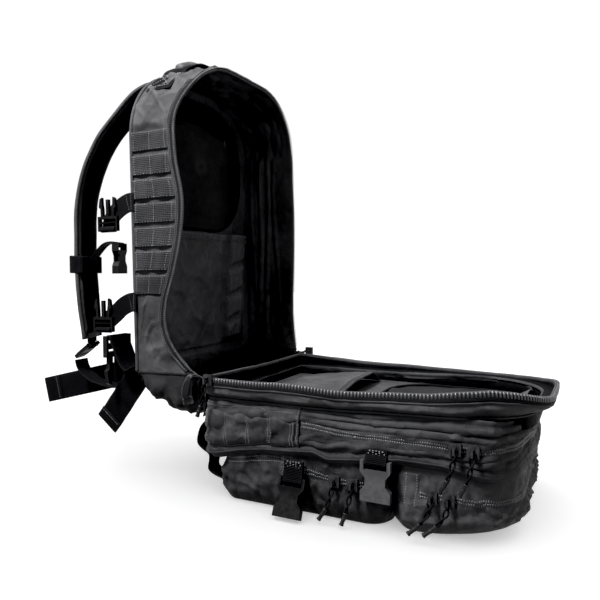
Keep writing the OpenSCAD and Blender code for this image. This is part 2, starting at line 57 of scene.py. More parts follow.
# ---------------------------------------------------------------- sizes
MM = 0.001
HINGE = Vector(JOINTS["clamshell"]["pos_m"])
PACK_LEN, PACK_W, TOP_R = 404, 284, 98     # the outline of both halves
PACK_X = 1.3                               # where the harness half starts, from the hinge
BACK_D, LEAN = 96, 1                       # the harness half's depth, and its lean in degrees
WALL_T = 3.0
SEAM_D = BACK_D - WALL_T                   # depth at which the side wall meets the back panel
RIM_Z, BAND_Z, EDGE_Z = 148, 127, 72       # pocket half: rim, rim band's seam, second compartment's edge
ZIP2_Z, ZIP1_Z = 102, 46                   # zips of the second compartment and of the front pockets
SECOND_W = PACK_W - 10
DIVIDER_Z = 115.4
WEB_W, BELT_W, WEB_T, THIN_T = 25, 38, 1.6, 1.4     # webbing; the thin kind is folded or sewn down
BAR_R = 3.3                                # webbing's turn round a buckle's bar
STRAP_W, STRAP_T, STRAP_YAW = 60, 14, 20
ALONG, ACROSS, UP, DOWN = (1, 0, 0), (0, 1, 0), (0, 0, 1), (0, 0, -1)     # in a half's own frame
NEAR, FAR = -1, 1
SIDE = {NEAR: "near", FAR: "far"}

FRONT = Matrix.Translation((HINGE.x, 0, 0)) @ Matrix.Scale(MM, 4)
BACK = (Matrix.Translation(HINGE) @ Matrix.Rotation(-math.pi / 2 - math.radians(LEAN), 4, "Y")
        @ Matrix.Scale(MM, 4))


def strap_frame(side):
    """The upright plane of a shoulder strap, turned outward about its top end."""
    return (FRONT @ Matrix.Translation((-122, side * 46, 0))
            @ Matrix.Rotation(-side * math.radians(STRAP_YAW), 4, "Z") @ Matrix.Translation((122, 0, 0)))


# ---------------------------------------------------------------- numbers and lines

def smooth(x, a=0.0, b=1.0):
    """Soft step from 0 at a to 1 at b."""
    k = np.clip((np.asarray(x, float) - a) / (b - a), 0, 1)
    return k * k * (3 - 2 * k)


def hump(x, middle, width):
    """Bell curve of height 1."""
    return np.exp(-((x - middle) / width) ** 2)


def ripple(a, b, seed, size_a, size_b, octaves=2):
    """Smooth noise between about -1 and 1 over two distances."""
    a, b = np.broadcast_arrays(np.asarray(a, float), np.asarray(b, float))
    out = np.zeros(a.shape)
    for k in range(octaves):
        f = 2.03 ** k
        out += np.array([noise.noise(Vector((x * f / size_a, y * f / size_b, seed + 7.3 * k)))
                         for x, y in zip(a.ravel(), b.ravel())]).reshape(a.shape) / 1.7 ** k
    return out * 1.5


def ridges(a, b, seed, size_a, size_b):
    """Sharp-crested creases between about 0 and 1."""
    return np.clip(1 - 2.6 * np.abs(ripple(a, b, seed, size_a, size_b, 1)), 0, 1) ** 1.5


def unit(v):
    """The vectors, each made 1 long."""
    v = np.asarray(v, float)
    return v / np.maximum(np.linalg.norm(v, axis=-1, keepdims=True), 1e-9)


def points(*coordinates):
    """Points from their coordinates, each of them one number or many."""
    return np.stack(np.broadcast_arrays(*[np.asarray(c, float) for c in coordinates]), -1)


def upright(line, y):
    """A line of x and z, set at y across the pack."""
    return points(line[:, 0], y, line[:, 1])


def spline(knots, pieces=8):
    """Smooth line through the knots (Catmull-Rom)."""
    p = np.asarray(knots, float)
    ext = np.vstack([p[0], p, p[-1]])
    out = []
    for i in range(len(p) - 1):
        a, b, c, d = ext[i:i + 4]
        for t in np.arange(pieces) / pieces:
            out.append(0.5 * (2 * b + (c - a) * t + (2 * a - 5 * b + 4 * c - d) * t * t
                              + (3 * b - a - 3 * c + d) * t ** 3))
    return np.array(out + [p[-1]])


def lengths(path):
    """The distance of each point from the first, along the path."""
    return np.concatenate([[0], np.cumsum(np.linalg.norm(np.diff(path, axis=0), axis=1))])


def sample(k, s, grid):
    """The columns of grid, known at distances s, read at distances k."""
    return np.stack([np.interp(k, s, column) for column in grid.T], 1)


def even(path, step):
    """The same line with even spacing of about step."""
    s = lengths(path)
    return sample(np.linspace(0, s[-1], max(int(round(s[-1] / step)), 1) + 1), s, path)


def along(path):
    """Unit tangents of an open line."""
    return unit(np.gradient(path, axis=0))


def bar_turn(bar, start, stop, n=16):
    """Points round a buckle's bar in a plane, between two angles in degrees."""
    a = np.radians(np.linspace(start, stop, n))
    return np.stack([bar[0] + BAR_R * np.cos(a), bar[1] + BAR_R * np.sin(a)], 1)


class Arch:
    """A half's outline, from the middle of its hinge end round the near side, or from the hinge
    line up where it is open. It is a box of width w from x0 to x1, with corners of radius rt at
    its top end and rb at its hinge end."""

    def __init__(self, x0, x1, w, rt, rb, is_open=False):
        h, q = w / 2, math.pi / 2
        end = [("arc", (x1 - rt, rt - h), 3 * q, rt), ("line", (x1, rt - h), (0, 1), w - 2 * rt),
               ("arc", (x1 - rt, h - rt), 0, rt)]
        self.x_near = x0 if is_open else x0 + rb
        side = x1 - rt - self.x_near
        self.lines = [("line", (self.x_near, -h), (1, 0), side), *end, ("line", (x1 - rt, h), (-1, 0), side)]
        if not is_open:
            self.lines = [("line", (x0, 0), (0, -1), h - rb), ("arc", (x0 + rb, rb - h), math.pi, rb),
                          *self.lines, ("arc", (x0 + rb, h - rb), q, rb),
                          ("line", (x0, h - rb), (0, -1), h - rb)]
        self.s_near = 0 if is_open else h - rb + q * rb
        self.size = [length * (q if kind == "arc" else 1) for kind, _, _, length in self.lines]
        self.total = sum(self.size)

    def s_at(self, side, x):
        """The distance of the point at x on a side's straight stretch."""
        s = self.s_near + x - self.x_near
        return s if side == NEAR else self.total - s

    def span(self, side, x0, x1, n):
        """Even distances between two places on a side."""
        a, b = sorted((self.s_at(side, x0), self.s_at(side, x1)))
        return np.linspace(a, b, n)

    def at(self, s):
        """Points and outward normals at distances s."""
        s = np.asarray(s, float)
        p, n = np.zeros(s.shape + (2,)), np.zeros(s.shape + (2,))
        start = 0.0
        for k, (kind, a, b, c) in enumerate(self.lines):
            last = k == len(self.lines) - 1
            here = (s >= start - 1e-9) & ((s < start + self.size[k]) | last)
            d = s[here] - start
            if kind == "line":
                p[here] = np.array(a) + d[:, None] * np.array(b)
                n[here] = (b[1], -b[0])
            else:
                angle = b + d / max(c, 1e-9)
                n[here] = np.stack([np.cos(angle), np.sin(angle)], 1)
                p[here] = np.array(a) + c * n[here]
            start += self.size[k]
        return p, n

    def ring(self, n):
        """n points all round the outline."""
        return self.at(np.linspace(0, self.total, n, endpoint=False))[0]


def ring_points(x, y, r, n, cx=0.0, cy=0.0):
    """n points round a box x by y with corners of radius r."""
    return Arch(-x / 2, x / 2, y, r, r).ring(n) + np.array([cx, cy])


def inset(ring, d, x):
    """The ring moved in by about d, towards the point at x on the middle line."""
    c = np.array([x, 0.0])
    out = ring - c
    return c + out * (1 - d / np.linalg.norm(out, axis=1, keepdims=True))


class Surface:
    """A sheet of points over distances s and t, closed round s or open."""

    def __init__(self, grid, s, t, closed=False, arch=None, n=None):
        self.p, self.s, self.t, self.closed, self.arch = grid, s, t, closed, arch
        du = np.roll(grid, -1, 0) - np.roll(grid, 1, 0) if closed else np.gradient(grid, axis=0)
        self.n = unit(np.cross(du, np.gradient(grid, axis=1))) if n is None else n

    def facing(self, direction):
        """The same surface with its normals turned to face along the direction."""
        if np.sum(self.n * direction) < 0:
            self.n = -self.n
        return self

    def _pick(self, grid, s, t):
        """The grid's values at distances s and t, between its points."""
        known = self.s
        if self.closed:
            grid = np.concatenate([grid, grid[:1]])
            total = 2 * self.s[-1] - self.s[-2]
            s, known = np.mod(s, total), np.append(self.s, total)
        i = np.clip(np.interp(s, known, np.arange(len(known))), 0, len(known) - 1.001)
        j = np.clip(np.interp(t, self.t, np.arange(len(self.t))), 0, len(self.t) - 1.001)
        a, b = i.astype(int), j.astype(int)
        u, v = (i - a)[..., None], (j - b)[..., None]
        return ((grid[a, b] * (1 - u) + grid[a + 1, b] * u) * (1 - v)
                + (grid[a, b + 1] * (1 - u) + grid[a + 1, b + 1] * u) * v)

    def at(self, s, t, lift=0.0):
        """Points lifted off the surface, and its normals there."""
        s, t, lift = np.broadcast_arrays(*[np.asarray(x, float) for x in (s, t, lift)])
        n = unit(self._pick(self.n, s, t))
        return self._pick(self.p, s, t) + n * lift[..., None], n


# ---------------------------------------------------------------- pieces

GRAIN = (((-1, 0, 0), (0, 1, 0), (0, 0, 1), (0, -1, 0), (0, 0, -1), (1, 0, 0)),
         ((0, 1, 2), (0, 2, 3), (0, 3, 4), (0, 4, 1), (5, 2, 1), (5, 3, 2), (5, 4, 3), (5, 1, 4)))
BLOCK = (tuple((x, y, z) for x in (-1, 1) for y in (-1, 1) for z in (-1, 1)),
         ((0, 1, 3, 2), (4, 6, 7, 5), (0, 4, 5, 1), (2, 3, 7, 6), (0, 2, 6, 4), (1, 5, 7, 3)))


class Bits:
    """Many small pieces, such as stitches or a zip's teeth, gathered into one mesh."""

    def __init__(self, shape):
        self.corners, self.sides = np.array(shape[0], float), np.array(shape[1])
        self.verts, self.faces, self.count = [], [], 0

    def add(self, centre, *half_axes):
        """half_axes are three rows of vectors, one for each piece."""
        v = centre[:, None] + sum(self.corners[None, :, i:i + 1] * axis[:, None]
                                  for i, axis in enumerate(half_axes))
        base = self.count + np.arange(len(centre))[:, None, None] * len(self.corners)
        self.verts.append(v.reshape(-1, 3))
        self.faces += (base + self.sides[None]).reshape(-1, self.sides.shape[1]).tolist()
        self.count += v.shape[0] * v.shape[1]


THREADS = {}      # each body's stitches


class Part:
    """A body, and the frame in which the pieces that ride it are drawn. Each piece is told its
    material and the CAD nodes that it replaces."""

    def __init__(self, body, matrix):
        self.body, self.matrix = body, np.array(matrix)

    def place(self, p):
        """The frame's points in the world, in metres."""
        return np.asarray(p, float) @ self.matrix[:3, :3].T + self.matrix[:3, 3]

    def turn(self, v):
        """The frame's directions in the world."""
        return unit(v @ self.matrix[:3, :3].T)

    def put(self, name, verts, faces, uvs, material, slot, *replaces):
        """A mesh object from vertices in metres; uvs has a pair for each face corner, in metres."""
        mesh = bpy.data.meshes.new(name)
        mesh.from_pydata(np.asarray(verts, float).tolist(), [], faces)
        if uvs is not None:
            layer = mesh.uv_layers.new(name="cloth")
            layer.data.foreach_set("uv", np.asarray(uvs, np.float32).ravel())
        mesh.materials.append(material)
        fix = bmesh.new()
        fix.from_mesh(mesh)
        bmesh.ops.recalc_face_normals(fix, faces=fix.faces)
        fix.to_mesh(mesh)
        fix.free()
        mesh.polygons.foreach_set("use_smooth", [True] * len(mesh.polygons))
        obj = bpy.data.objects.new(name, mesh)
        bpy.context.scene.collection.objects.link(obj)
        if self.body:
            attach(obj, self.body)
        if replaces:
            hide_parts(*replaces)
        return obj

    def loft(self, name, section, uv, closed, *looks):
        """Closed loops of points, section[i], joined along i. uv has a pair for each point and one
        more at the end of each loop, in millimetres."""
        n, c = section.shape[:2]
        i = np.arange(n if closed else n - 1)
        a, b = [x.ravel() for x in np.meshgrid(i, np.arange(c), indexing="ij")]
        corners = [(a, b), (a + 1, b), (a + 1, b + 1), (a, b + 1)]
        faces = np.stack([(x % n) * c + y % c for x, y in corners], 1).tolist()
        uvs = np.stack([uv[x % len(uv), y % uv.shape[1]] for x, y in corners], 1).reshape(-1, 2)
        if not closed:
            faces += [list(range(c - 1, -1, -1)), [(n - 1) * c + k for k in range(c)]]
            uvs = np.concatenate([uvs, uv[0, :c], uv[-1, :c]])
        return self.put(name, self.place(section.reshape(-1, 3)), faces, uvs * MM, *looks)

    def skin(self, name, surface, thick, *looks):
        """A sheet of cloth with a wall thickness: the surface is its outside."""
        p, s, t = surface.p, surface.s, surface.t
        inner, mid = p - surface.n * thick, p - surface.n * thick / 2
        reach = thick * 0.45
        tip0 = mid[:, :1] + (mid[:, :1] - mid[:, 1:2]) * 0.001 + unit(p[:, :1] - p[:, 1:2]) * reach
        tip1 = mid[:, -1:] + unit(p[:, -1:] - p[:, -2:-1]) * reach
        section = np.concatenate([p, tip1, inner[:, ::-1], tip0], 1)
        v = np.concatenate([t, [t[-1] + thick / 2], t[::-1] + thick, [t[0] + thick / 2], [t[0]]])
        u = np.append(s, 2 * s[-1] - s[-2]) if surface.closed else s
        return self.loft(name, section, points(u[:, None], v), surface.closed, *looks)

    def strip(self, name, path, width, w, thick, *looks, crown=0.0, wave=0.0, seed=1.0):
        """Webbing along a path; width is its width's direction, one for all points or one each."""
        t = along(path)
        width = unit(np.broadcast_to(np.asarray(width, float), path.shape))
        width = unit(width - t * np.sum(width * t, 1, keepdims=True))
        up = np.cross(t, width)
        across = np.array([-0.94, -0.8, -0.4, 0, 0.4, 0.8, 0.94])
        arc = crown * (1 - across ** 2)
        xs = np.concatenate([across, [1.0], across[::-1], [-1.0]]) * w / 2
        zs = np.concatenate([arc + thick / 2, [0], arc - thick / 2, [0]])
        s = lengths(path)
        lift = wave * ripple(s, seed, seed, 26, 1) if wave else np.zeros(len(path))
        section = (path[:, None] + width[:, None] * xs[None, :, None]
                   + up[:, None] * (zs[None, :] + lift[:, None])[..., None])
        v = np.append(lengths(np.stack([xs, zs], 1)), 2 * w + 2 * thick)
        return self.loft(name, section, points(s[:, None], v), False, *looks)

    def web(self, name, path, width, thick, *replaces, w=WEB_W, **shape):
        """A strip of plain webbing."""
        return self.strip(name, path, width, w, thick, WEBBING, "webbing", *replaces, **shape)

    def tube(self, name, path, radius, *looks, closed=False, sides=8):
        """A round cord or piping along a path."""
        t = unit(np.roll(path, -1, 0) - np.roll(path, 1, 0)) if closed else along(path)
        a = unit(np.cross(t, (0.31, 0.17, 0.93)))
        b = np.cross(t, a)
        angle = np.linspace(0, 2 * math.pi, sides, endpoint=False)[None, :, None]
        section = path[:, None] + radius * (a[:, None] * np.cos(angle) + b[:, None] * np.sin(angle))
        s = lengths(np.vstack([path, path[:1]]) if closed else path)
        v = np.linspace(0, 2 * math.pi * radius, sides + 1)
        return self.loft(name, section, points(s[:, None], v), closed, *looks)

    def band(self, name, surf, s, t0, t1, thick, *looks, lift=0.2, rows=5, bulge=None):
        """A band laid on a surface along the distances s, between t0 and t1 across it."""
        t0, t1 = np.broadcast_to(t0, s.shape), np.broadcast_to(t1, s.shape)
        k = np.linspace(0, 1, rows)
        tt = t0[:, None] + (t1 - t0)[:, None] * k
        ss = np.broadcast_to(s[:, None], tt.shape)
        rise = lift + thick + (bulge(ss, tt, k[None, :]) if bulge else 0)
        p, _ = surf.at(ss, tt, rise)
        laid = Surface(p, lengths(p[:, rows // 2]), k * float(np.mean(np.abs(t1 - t0))))
        self.skin(name, laid, thick, *looks)
        return laid

    def disc(self, name, ring, centre, top, thick, *looks, rings=16, up=1):
        """A panel inside a ring. top(x, y, k) gives the height of its upper face, k being 1 at
        the edge and 0 in the middle."""
        k = np.linspace(1e-5, 1, rings) ** 0.8
        flat = np.array(centre, float) + (ring[:, None] - centre) * k[None, :, None]
        h = top(flat[..., 0], flat[..., 1], k[None, :] * np.ones(len(ring))[:, None])
        upper = np.concatenate([flat, h[..., None]], 2)
        lower = upper - np.array([0, 0, up * thick])
        mid = (upper[:, -1:] + lower[:, -1:]) / 2
        mid[..., :2] += unit(flat[:, -1:] - flat[:, -2:-1]) * thick * 0.4
        section = np.concatenate([upper, mid, lower[:, ::-1]], 1)
        return self.loft(name, section, section[..., :2], True, *looks)

    def bowl(self, name, surf, thick, floor_z, x, *looks):
        """A pocket's wall with its closed floor: surf is the wall from its floor up, and the floor
        narrows to the point at x."""
        wall = surf.p[:, ::-1]
        k = np.array([0.93, 0.8, 0.55, 0.3, 0.1, 1e-5])
        last, centre = wall[:, -1:], np.array([x, 0, floor_z])
        bottom = centre + (last - centre) * k[None, :, None]
        bottom[..., 2] = floor_z + (last[..., 2] - floor_z) * k[None, :] ** 1.5
        down = surf.t[-1] - surf.t[::-1]
        t = np.concatenate([down, down[-1] + 15.0 * np.arange(1, len(k) + 1)])
        both = Surface(np.concatenate([wall, bottom], 1), surf.s, t, True)
        both.n[:, wall.shape[1]:] = (0, 0, -1)
        return self.skin(name, both, thick, *looks)

    def teeth(self, name, path, normal, across, pitch, half, material):
        """A zip's teeth along a path; half has their half sizes along, across and up."""
        s = lengths(path)
        n = int(s[-1] / pitch)
        k = (np.arange(n) + 0.5) * s[-1] / n
        axes = [along(path), np.broadcast_to(across, path.shape), np.broadcast_to(normal, path.shape)]
        bits = Bits(BLOCK)
        bits.add(self.place(sample(k, s, path)),
                 *[self.turn(sample(k, s, axis)) * size * MM for axis, size in zip(axes, half)])
        return self.put(name, np.concatenate(bits.verts), bits.faces, None, material, "webbing")

    def sew(self, path, normal, pitch=4.4, size=0.42):
        """A line of stitches along a path."""
        s = lengths(path)
        n = int(s[-1] / pitch)
        if n < 1:
            return
        k = (np.arange(n) + 0.5) * s[-1] / n
        t = self.turn(sample(k, s, along(path)))
        up = self.turn(unit(sample(k, s, np.broadcast_to(normal, path.shape))))
        size *= MM
        THREADS.setdefault(self.body, Bits(GRAIN)).add(
            self.place(sample(k, s, path)) + up * size * 0.15, t * pitch * 0.34 * MM,
            np.cross(t, up) * size * 0.8, up * size)

    def sew_on(self, surf, s, t, lift, **stitch):
        """Stitches on a surface, along s at t."""
        self.sew(*surf.at(s, t, lift), **stitch)

    def sew_rows(self, surf, rows, lift=0.3, **stitch):
        """Stitches along some rows of a surface's points."""
        for i in rows:
            self.sew(surf.p[i] + surf.n[i] * lift, surf.n[i], **stitch)

    def sew_columns(self, surf, columns, lift=0.3, **stitch):
        """Stitches along some columns of a surface's points."""
        for j in columns:
            self.sew(surf.p[:, j] + surf.n[:, j] * lift, surf.n[:, j], **stitch)

    def box_stitch(self, point):
        """A sewn box with a cross. point(a, b) gives points and normals for a and b from -1 to 1."""
        for start, end in (((-1, -1), (1, -1)), ((1, -1), (1, 1)), ((1, 1), (-1, 1)),
                           ((-1, 1), (-1, -1)), ((-1, -1), (1, 1)), ((-1, 1), (1, -1))):
            ab = np.linspace(start, end, 12)
            self.sew(*point(ab[:, 0], ab[:, 1]), pitch=3.4, size=0.7)


def only(test, *nodes):
    """The nodes if the test holds, for a node that one of several pieces replaces."""
    return nodes if test else ()


POCKET, HARNESS = Part("pocket_half", FRONT), Part("harness_half", BACK)


# ---------------------------------------------------------------- materials

class Nodes:
    """A material's node tree, built from small steps."""

    def __init__(self, name):
        self.mat = bpy.data.materials.new(name)
        self.mat.use_nodes = True
        self.tree = self.mat.node_tree
        self.shader = self.tree.nodes["Principled BSDF"]

    def feed(self, socket, value):
        """Links a node's output to the socket, or sets a number on it."""
        if isinstance(value, bpy.types.NodeSocket):
            self.tree.links.new(value, socket)
        else:
            socket.default_value = value

    def new(self, kind, inputs=(), **props):
        node = self.tree.nodes.new(kind)
        for key, value in props.items():
            setattr(node, key, value)
        for key, value in dict(inputs).items():
            self.feed(node.inputs[key], value)
        return node

    def here(self):
        """The place on the object, in metres."""
        return self.new("ShaderNodeTexCoord").outputs["Object"]

    def math(self, op, a, b=0.0):
        return self.new("ShaderNodeMath", {0: a, 1: b}, operation=op).outputs[0]

    def times(self, a, b):
        return self.math("MULTIPLY", a, b)

    def plus(self, a, b):
        return self.math("ADD", a, b)

    def wave(self, value, period, phase=0.0):
        """A sine of the value, between -1 and 1."""
        return self.math("SINE", self.plus(self.times(value, 2 * math.pi / period), phase))

    def noise(self, vector, scale, detail=3.0, rough=0.55):
        return self.new("ShaderNodeTexNoise", {"Vector": vector, "Scale": scale, "Detail": detail,
                                               "Roughness": rough}).outputs["Fac"]

    def ramp(self, value, low, high, a=0.0, b=1.0):
        """Goes from a to b as the value goes from low to high."""
        return self.new("ShaderNodeMapRange", {"Value": value, "From Min": low, "From Max": high,
                                               "To Min": a, "To Max": b}).outputs[0]

    def tint(self, colour, gain):
        """The colour times a varying gain."""
        return self.new("ShaderNodeVectorMath", {0: colour, "Scale": gain}, operation="SCALE").outputs[0]

    def mix(self, factor, a, b):
        node = self.new("ShaderNodeMix", {"Factor": factor}, data_type="RGBA")
        self.feed(node.inputs[6], a)
        self.feed(node.inputs[7], b)
        return node.outputs[2]

    def bump(self, height, mm, strength, normal=None):
        """A normal for a relief that is mm high."""
        inputs = {"Height": height, "Distance": mm * MM, "Strength": strength}
        if normal is not None:
            inputs["Normal"] = normal
        return self.new("ShaderNodeBump", inputs).outputs[0]

    def cloth_uv(self):
        """The cloth's own distances in millimetres."""
        uv = self.new("ShaderNodeUVMap", uv_map="cloth").outputs[0]
        mm = self.new("ShaderNodeVectorMath", {0: uv, 1: (1000, 1000, 1000)}, operation="MULTIPLY")
        split = self.new("ShaderNodeSeparateXYZ", {0: mm.outputs[0]})
        return split.outputs[0], split.outputs[1]

    def rubbed(self, base, colour, gain, lint, edge, patches, wear):
        """The base colour, made lighter on edges where the patches of wear are."""
        point = self.new("ShaderNodeNewGeometry").outputs["Pointiness"]
        rub = self.times(self.ramp(point, *edge), self.ramp(*patches, wear))
        return self.mix(rub, base, tuple(min(1, gain * c + lint) for c in colour) + (1,))

    def finish(self, **sockets):
        """The material, with these values or outputs on its shader's sockets."""
        for key, value in sockets.items():
            self.feed(self.shader.inputs[key.replace("_", " ")], value)
        return self.mat


def worn(nodes, here, colour, spread, wear):
    """Uneven dye, lint and lighter, rubbed folds over a base colour."""
    big = nodes.ramp(nodes.noise(here, 16, 4), 0.32, 0.7, 1 - spread, 1 + spread)
    fine = nodes.ramp(nodes.noise(here, 210, 2), 0.3, 0.75, 0.86, 1.16)
    dyed = nodes.tint(colour, nodes.times(big, fine))
    patches = (nodes.noise(here, 60, 3), 0.35, 0.65, 0.35)
    return nodes.rubbed(dyed, colour, 2.4, 0.0015, (0.50, 0.60), patches, wear)


def woven(name, colour, period=0.9, depth=0.22, rough=(0.40, 0.62), spread=0.35, wear=0.55, ribs=None,
          sheen=0.003, gloss=0.012, fold=13):
    """Woven cloth: period and depth are the weave's, and fold is the height of its creases."""
    nodes = Nodes(name)
    here = nodes.here()
    x, y = nodes.cloth_uv()
    if ribs:
        first, second = (x, y) if ribs == "along" else (y, x)
        weave = nodes.plus(nodes.times(nodes.wave(first, period), 0.7),
                           nodes.times(nodes.wave(second, period * 0.62), 0.35))
    else:
        weave = nodes.times(nodes.wave(x, period), nodes.wave(y, period, 0.7))
    height = nodes.plus(weave, nodes.times(nodes.noise(here, 420, 2), 1.2))
    slack = nodes.noise(here, 19, 2.5, 0.5)
    crumple = nodes.math("ABSOLUTE", nodes.math("SUBTRACT", nodes.noise(here, 27, 2, 0.5), 0.5))
    creases = nodes.bump(nodes.math("SUBTRACT", slack, nodes.times(crumple, 0.8)), fold, 0.8)
    # The colour follows the weave's height: painted shade in its dips and painted light on its crests.
    base = nodes.tint(worn(nodes, here, colour, spread, wear), nodes.ramp(weave, -1, 1, 0.72, 1.22))
    roughness = nodes.ramp(nodes.noise(here, 30), 0.3, 0.7, *rough)
    return nodes.finish(Base_Color=base, Roughness=roughness, Normal=nodes.bump(height, depth, 0.55, creases),
                        Sheen_Weight=sheen, Sheen_Roughness=0.5, Specular_IOR_Level=gloss)


def knitted(name, colour, cell=3.4, spread=0.3):
    """Spacer mesh: rows of small round holes in a knit, painted darker inside as painted shade."""
    nodes = Nodes(name)
    here = nodes.here()
    x, y = nodes.cloth_uv()
    holes = nodes.times(nodes.wave(x, cell), nodes.wave(nodes.plus(y, nodes.times(x, 0.5)), cell))
    hole = nodes.ramp(holes, 0.1, 0.55)
    height = nodes.math("SUBTRACT", nodes.times(nodes.noise(here, 900, 2), 0.5), hole)
    # The holes are painted at a quarter of the colour: painted shade in the holes.
    base = nodes.mix(hole, worn(nodes, here, colour, spread, 0.4), tuple(0.25 * c for c in colour) + (1,))
    return nodes.finish(Base_Color=base, Roughness=nodes.ramp(nodes.noise(here, 30), 0.3, 0.7, 0.7, 0.9),
                        Normal=nodes.bump(height, 0.6, 0.8), Sheen_Weight=0.004, Specular_IOR_Level=0.03)


def moulded(name, colour, rough=(0.34, 0.5), grain=0.06, wear=0.6, gloss=0.3):
    """Moulded plastic or enamel with scuffed edges; grain is the depth of its texture."""
    nodes = Nodes(name)
    here = nodes.here()
    scuff = nodes.noise(here, 160, 4, 0.65)
    dyed = nodes.tint(colour, nodes.ramp(nodes.noise(here, 45), 0.3, 0.7, 0.85, 1.2))
    base = nodes.rubbed(dyed, colour, 2.2, 0.004, (0.505, 0.6), (scuff, 0.35, 0.6, 0.2), wear)
    texture = nodes.plus(nodes.noise(here, 1400, 2), nodes.times(scuff, 0.5))
    return nodes.finish(Base_Color=base, Roughness=nodes.ramp(scuff, 0.3, 0.7, *rough), Metallic=0.0,
                        Normal=nodes.bump(texture, grain, 0.6), Specular_IOR_Level=gloss)


def grey(tone, blue):
    """A grey whose blue is a little off the rest."""
    return tone, tone, blue


LIMP, FIRM = (0.45, 0.65), (0.5, 0.7)      # ranges of roughness
CLOTH = woven("pack_cloth", grey(0.0150, 0.0158), spread=0.45, sheen=0.006, gloss=0.055)
# Painted shade: the pocket half's cloth is a darker copy of the pack cloth, standing in for the weaker light
# on that half.
SHADED_FRONT_CLOTH = woven("pack_cloth_front_painted_shade", grey(0.0098, 0.0104), spread=0.6, sheen=0.004, gloss=0.035, fold=17)
# Painted shade: a darker copy of the pack cloth for the bottom panel, standing in for the shade at the low
# corner.
SHADED_BASE_CLOTH = woven("base_cloth_painted_shade", grey(0.0070, 0.0074), rough=(0.42, 0.62), gloss=0.02)
LINING = woven("lining_cloth", grey(0.021, 0.0223), 0.5, 0.12, (0.40, 0.6), wear=0.4, sheen=0.006, gloss=0.06)
# Painted shade: a near-black copy of the lining, standing in for the shade inside the pocket half's wall.
SHADED_INNER = woven("inner_cloth_painted_shade", grey(0.0016, 0.0018), 0.5, 0.12, LIMP, wear=0.4, sheen=0.002, gloss=0.01)
WEBBING = woven("webbing_ribbed", grey(0.0016, 0.0018), 1.8, 0.5, FIRM, 0.25, 0.8, "along", fold=1)
ROWS = woven("webbing_rows", grey(0.0098, 0.0103), 3.6, 1.4, FIRM, 0.45, 0.9, "across", 0.004, 0.02, 1.5)
TAPE = woven("zip_tape", grey(0.0045, 0.0048), 1.1, 0.25, FIRM, 0.25, 0.5, "across", fold=1)
BINDING = woven("edge_binding", grey(0.0110, 0.0116), 1.2, 0.3, LIMP, 0.3, 0.9, "along", 0.006, 0.03, 1)
THREAD = woven("sewing_thread", grey(0.060, 0.063), 0.8, 0.1, FIRM, 0.3, 0.5, None, 0.02, 0.1)
MESH = knitted("pocket_mesh", grey(0.0105, 0.0110))
SPACER = knitted("spacer_mesh", grey(0.0016, 0.0018))
TEETH = moulded("nylon_teeth", grey(0.013, 0.0139), (0.25, 0.4), gloss=0.2)
PLASTIC = moulded("buckle_acetal", grey(0.0012, 0.0013), gloss=0.03)
# Painted light: a lighter copy of the buckle plastic, given to one buckle so that it reads as lit.
LIT_SATIN = moulded("buckle_satin_painted_light", grey(0.0125, 0.0134), gloss=0.25)
PULLER = moulded("pull_rubber", grey(0.0025, 0.0027), (0.35, 0.5), 0.1, gloss=0.10)
SLIDER = moulded("slider_enamel", grey(0.0030, 0.0033), (0.14, 0.26), 0.04, 0.9, gloss=0.22)
SHEET = moulded("frame_sheet_plastic", grey(0.50, 0.48), (0.4, 0.6))


# ---------------------------------------------------------------- harness half: side wall and rim

back_arch = Arch(PACK_X, PACK_LEN, PACK_W, TOP_R, 24, is_open=True)

# How far the near rim has slumped back from the zip's plane, by distance from the hinge
SLUMP_LINE = spline([[1, 0], [4, 2], [11, 13], [36, 34], [66, 45], [97, 42], [135, 29], [179, 18], [223, 14],
                     [276, 23], [328, 24], [370, 12], [404, 4]])

# Pleats in the far side wall: depth, height and slant
PLEATS = [(78, 3.0, 0.01), (64, 5.0, -0.03), (50, 4.0, -0.015), (34, 2.5, 0.02)]
CORNER_TUCK = 4     # how far the near lower corner is turned under


def slump(p):
    """The rim's depth behind the zip's plane at outline points p."""
    near = 1 - smooth(p[..., 1], -142, 0)
    return 1.5 + np.interp(p[..., 0], *SLUMP_LINE.T) * (0.12 + 0.88 * near)


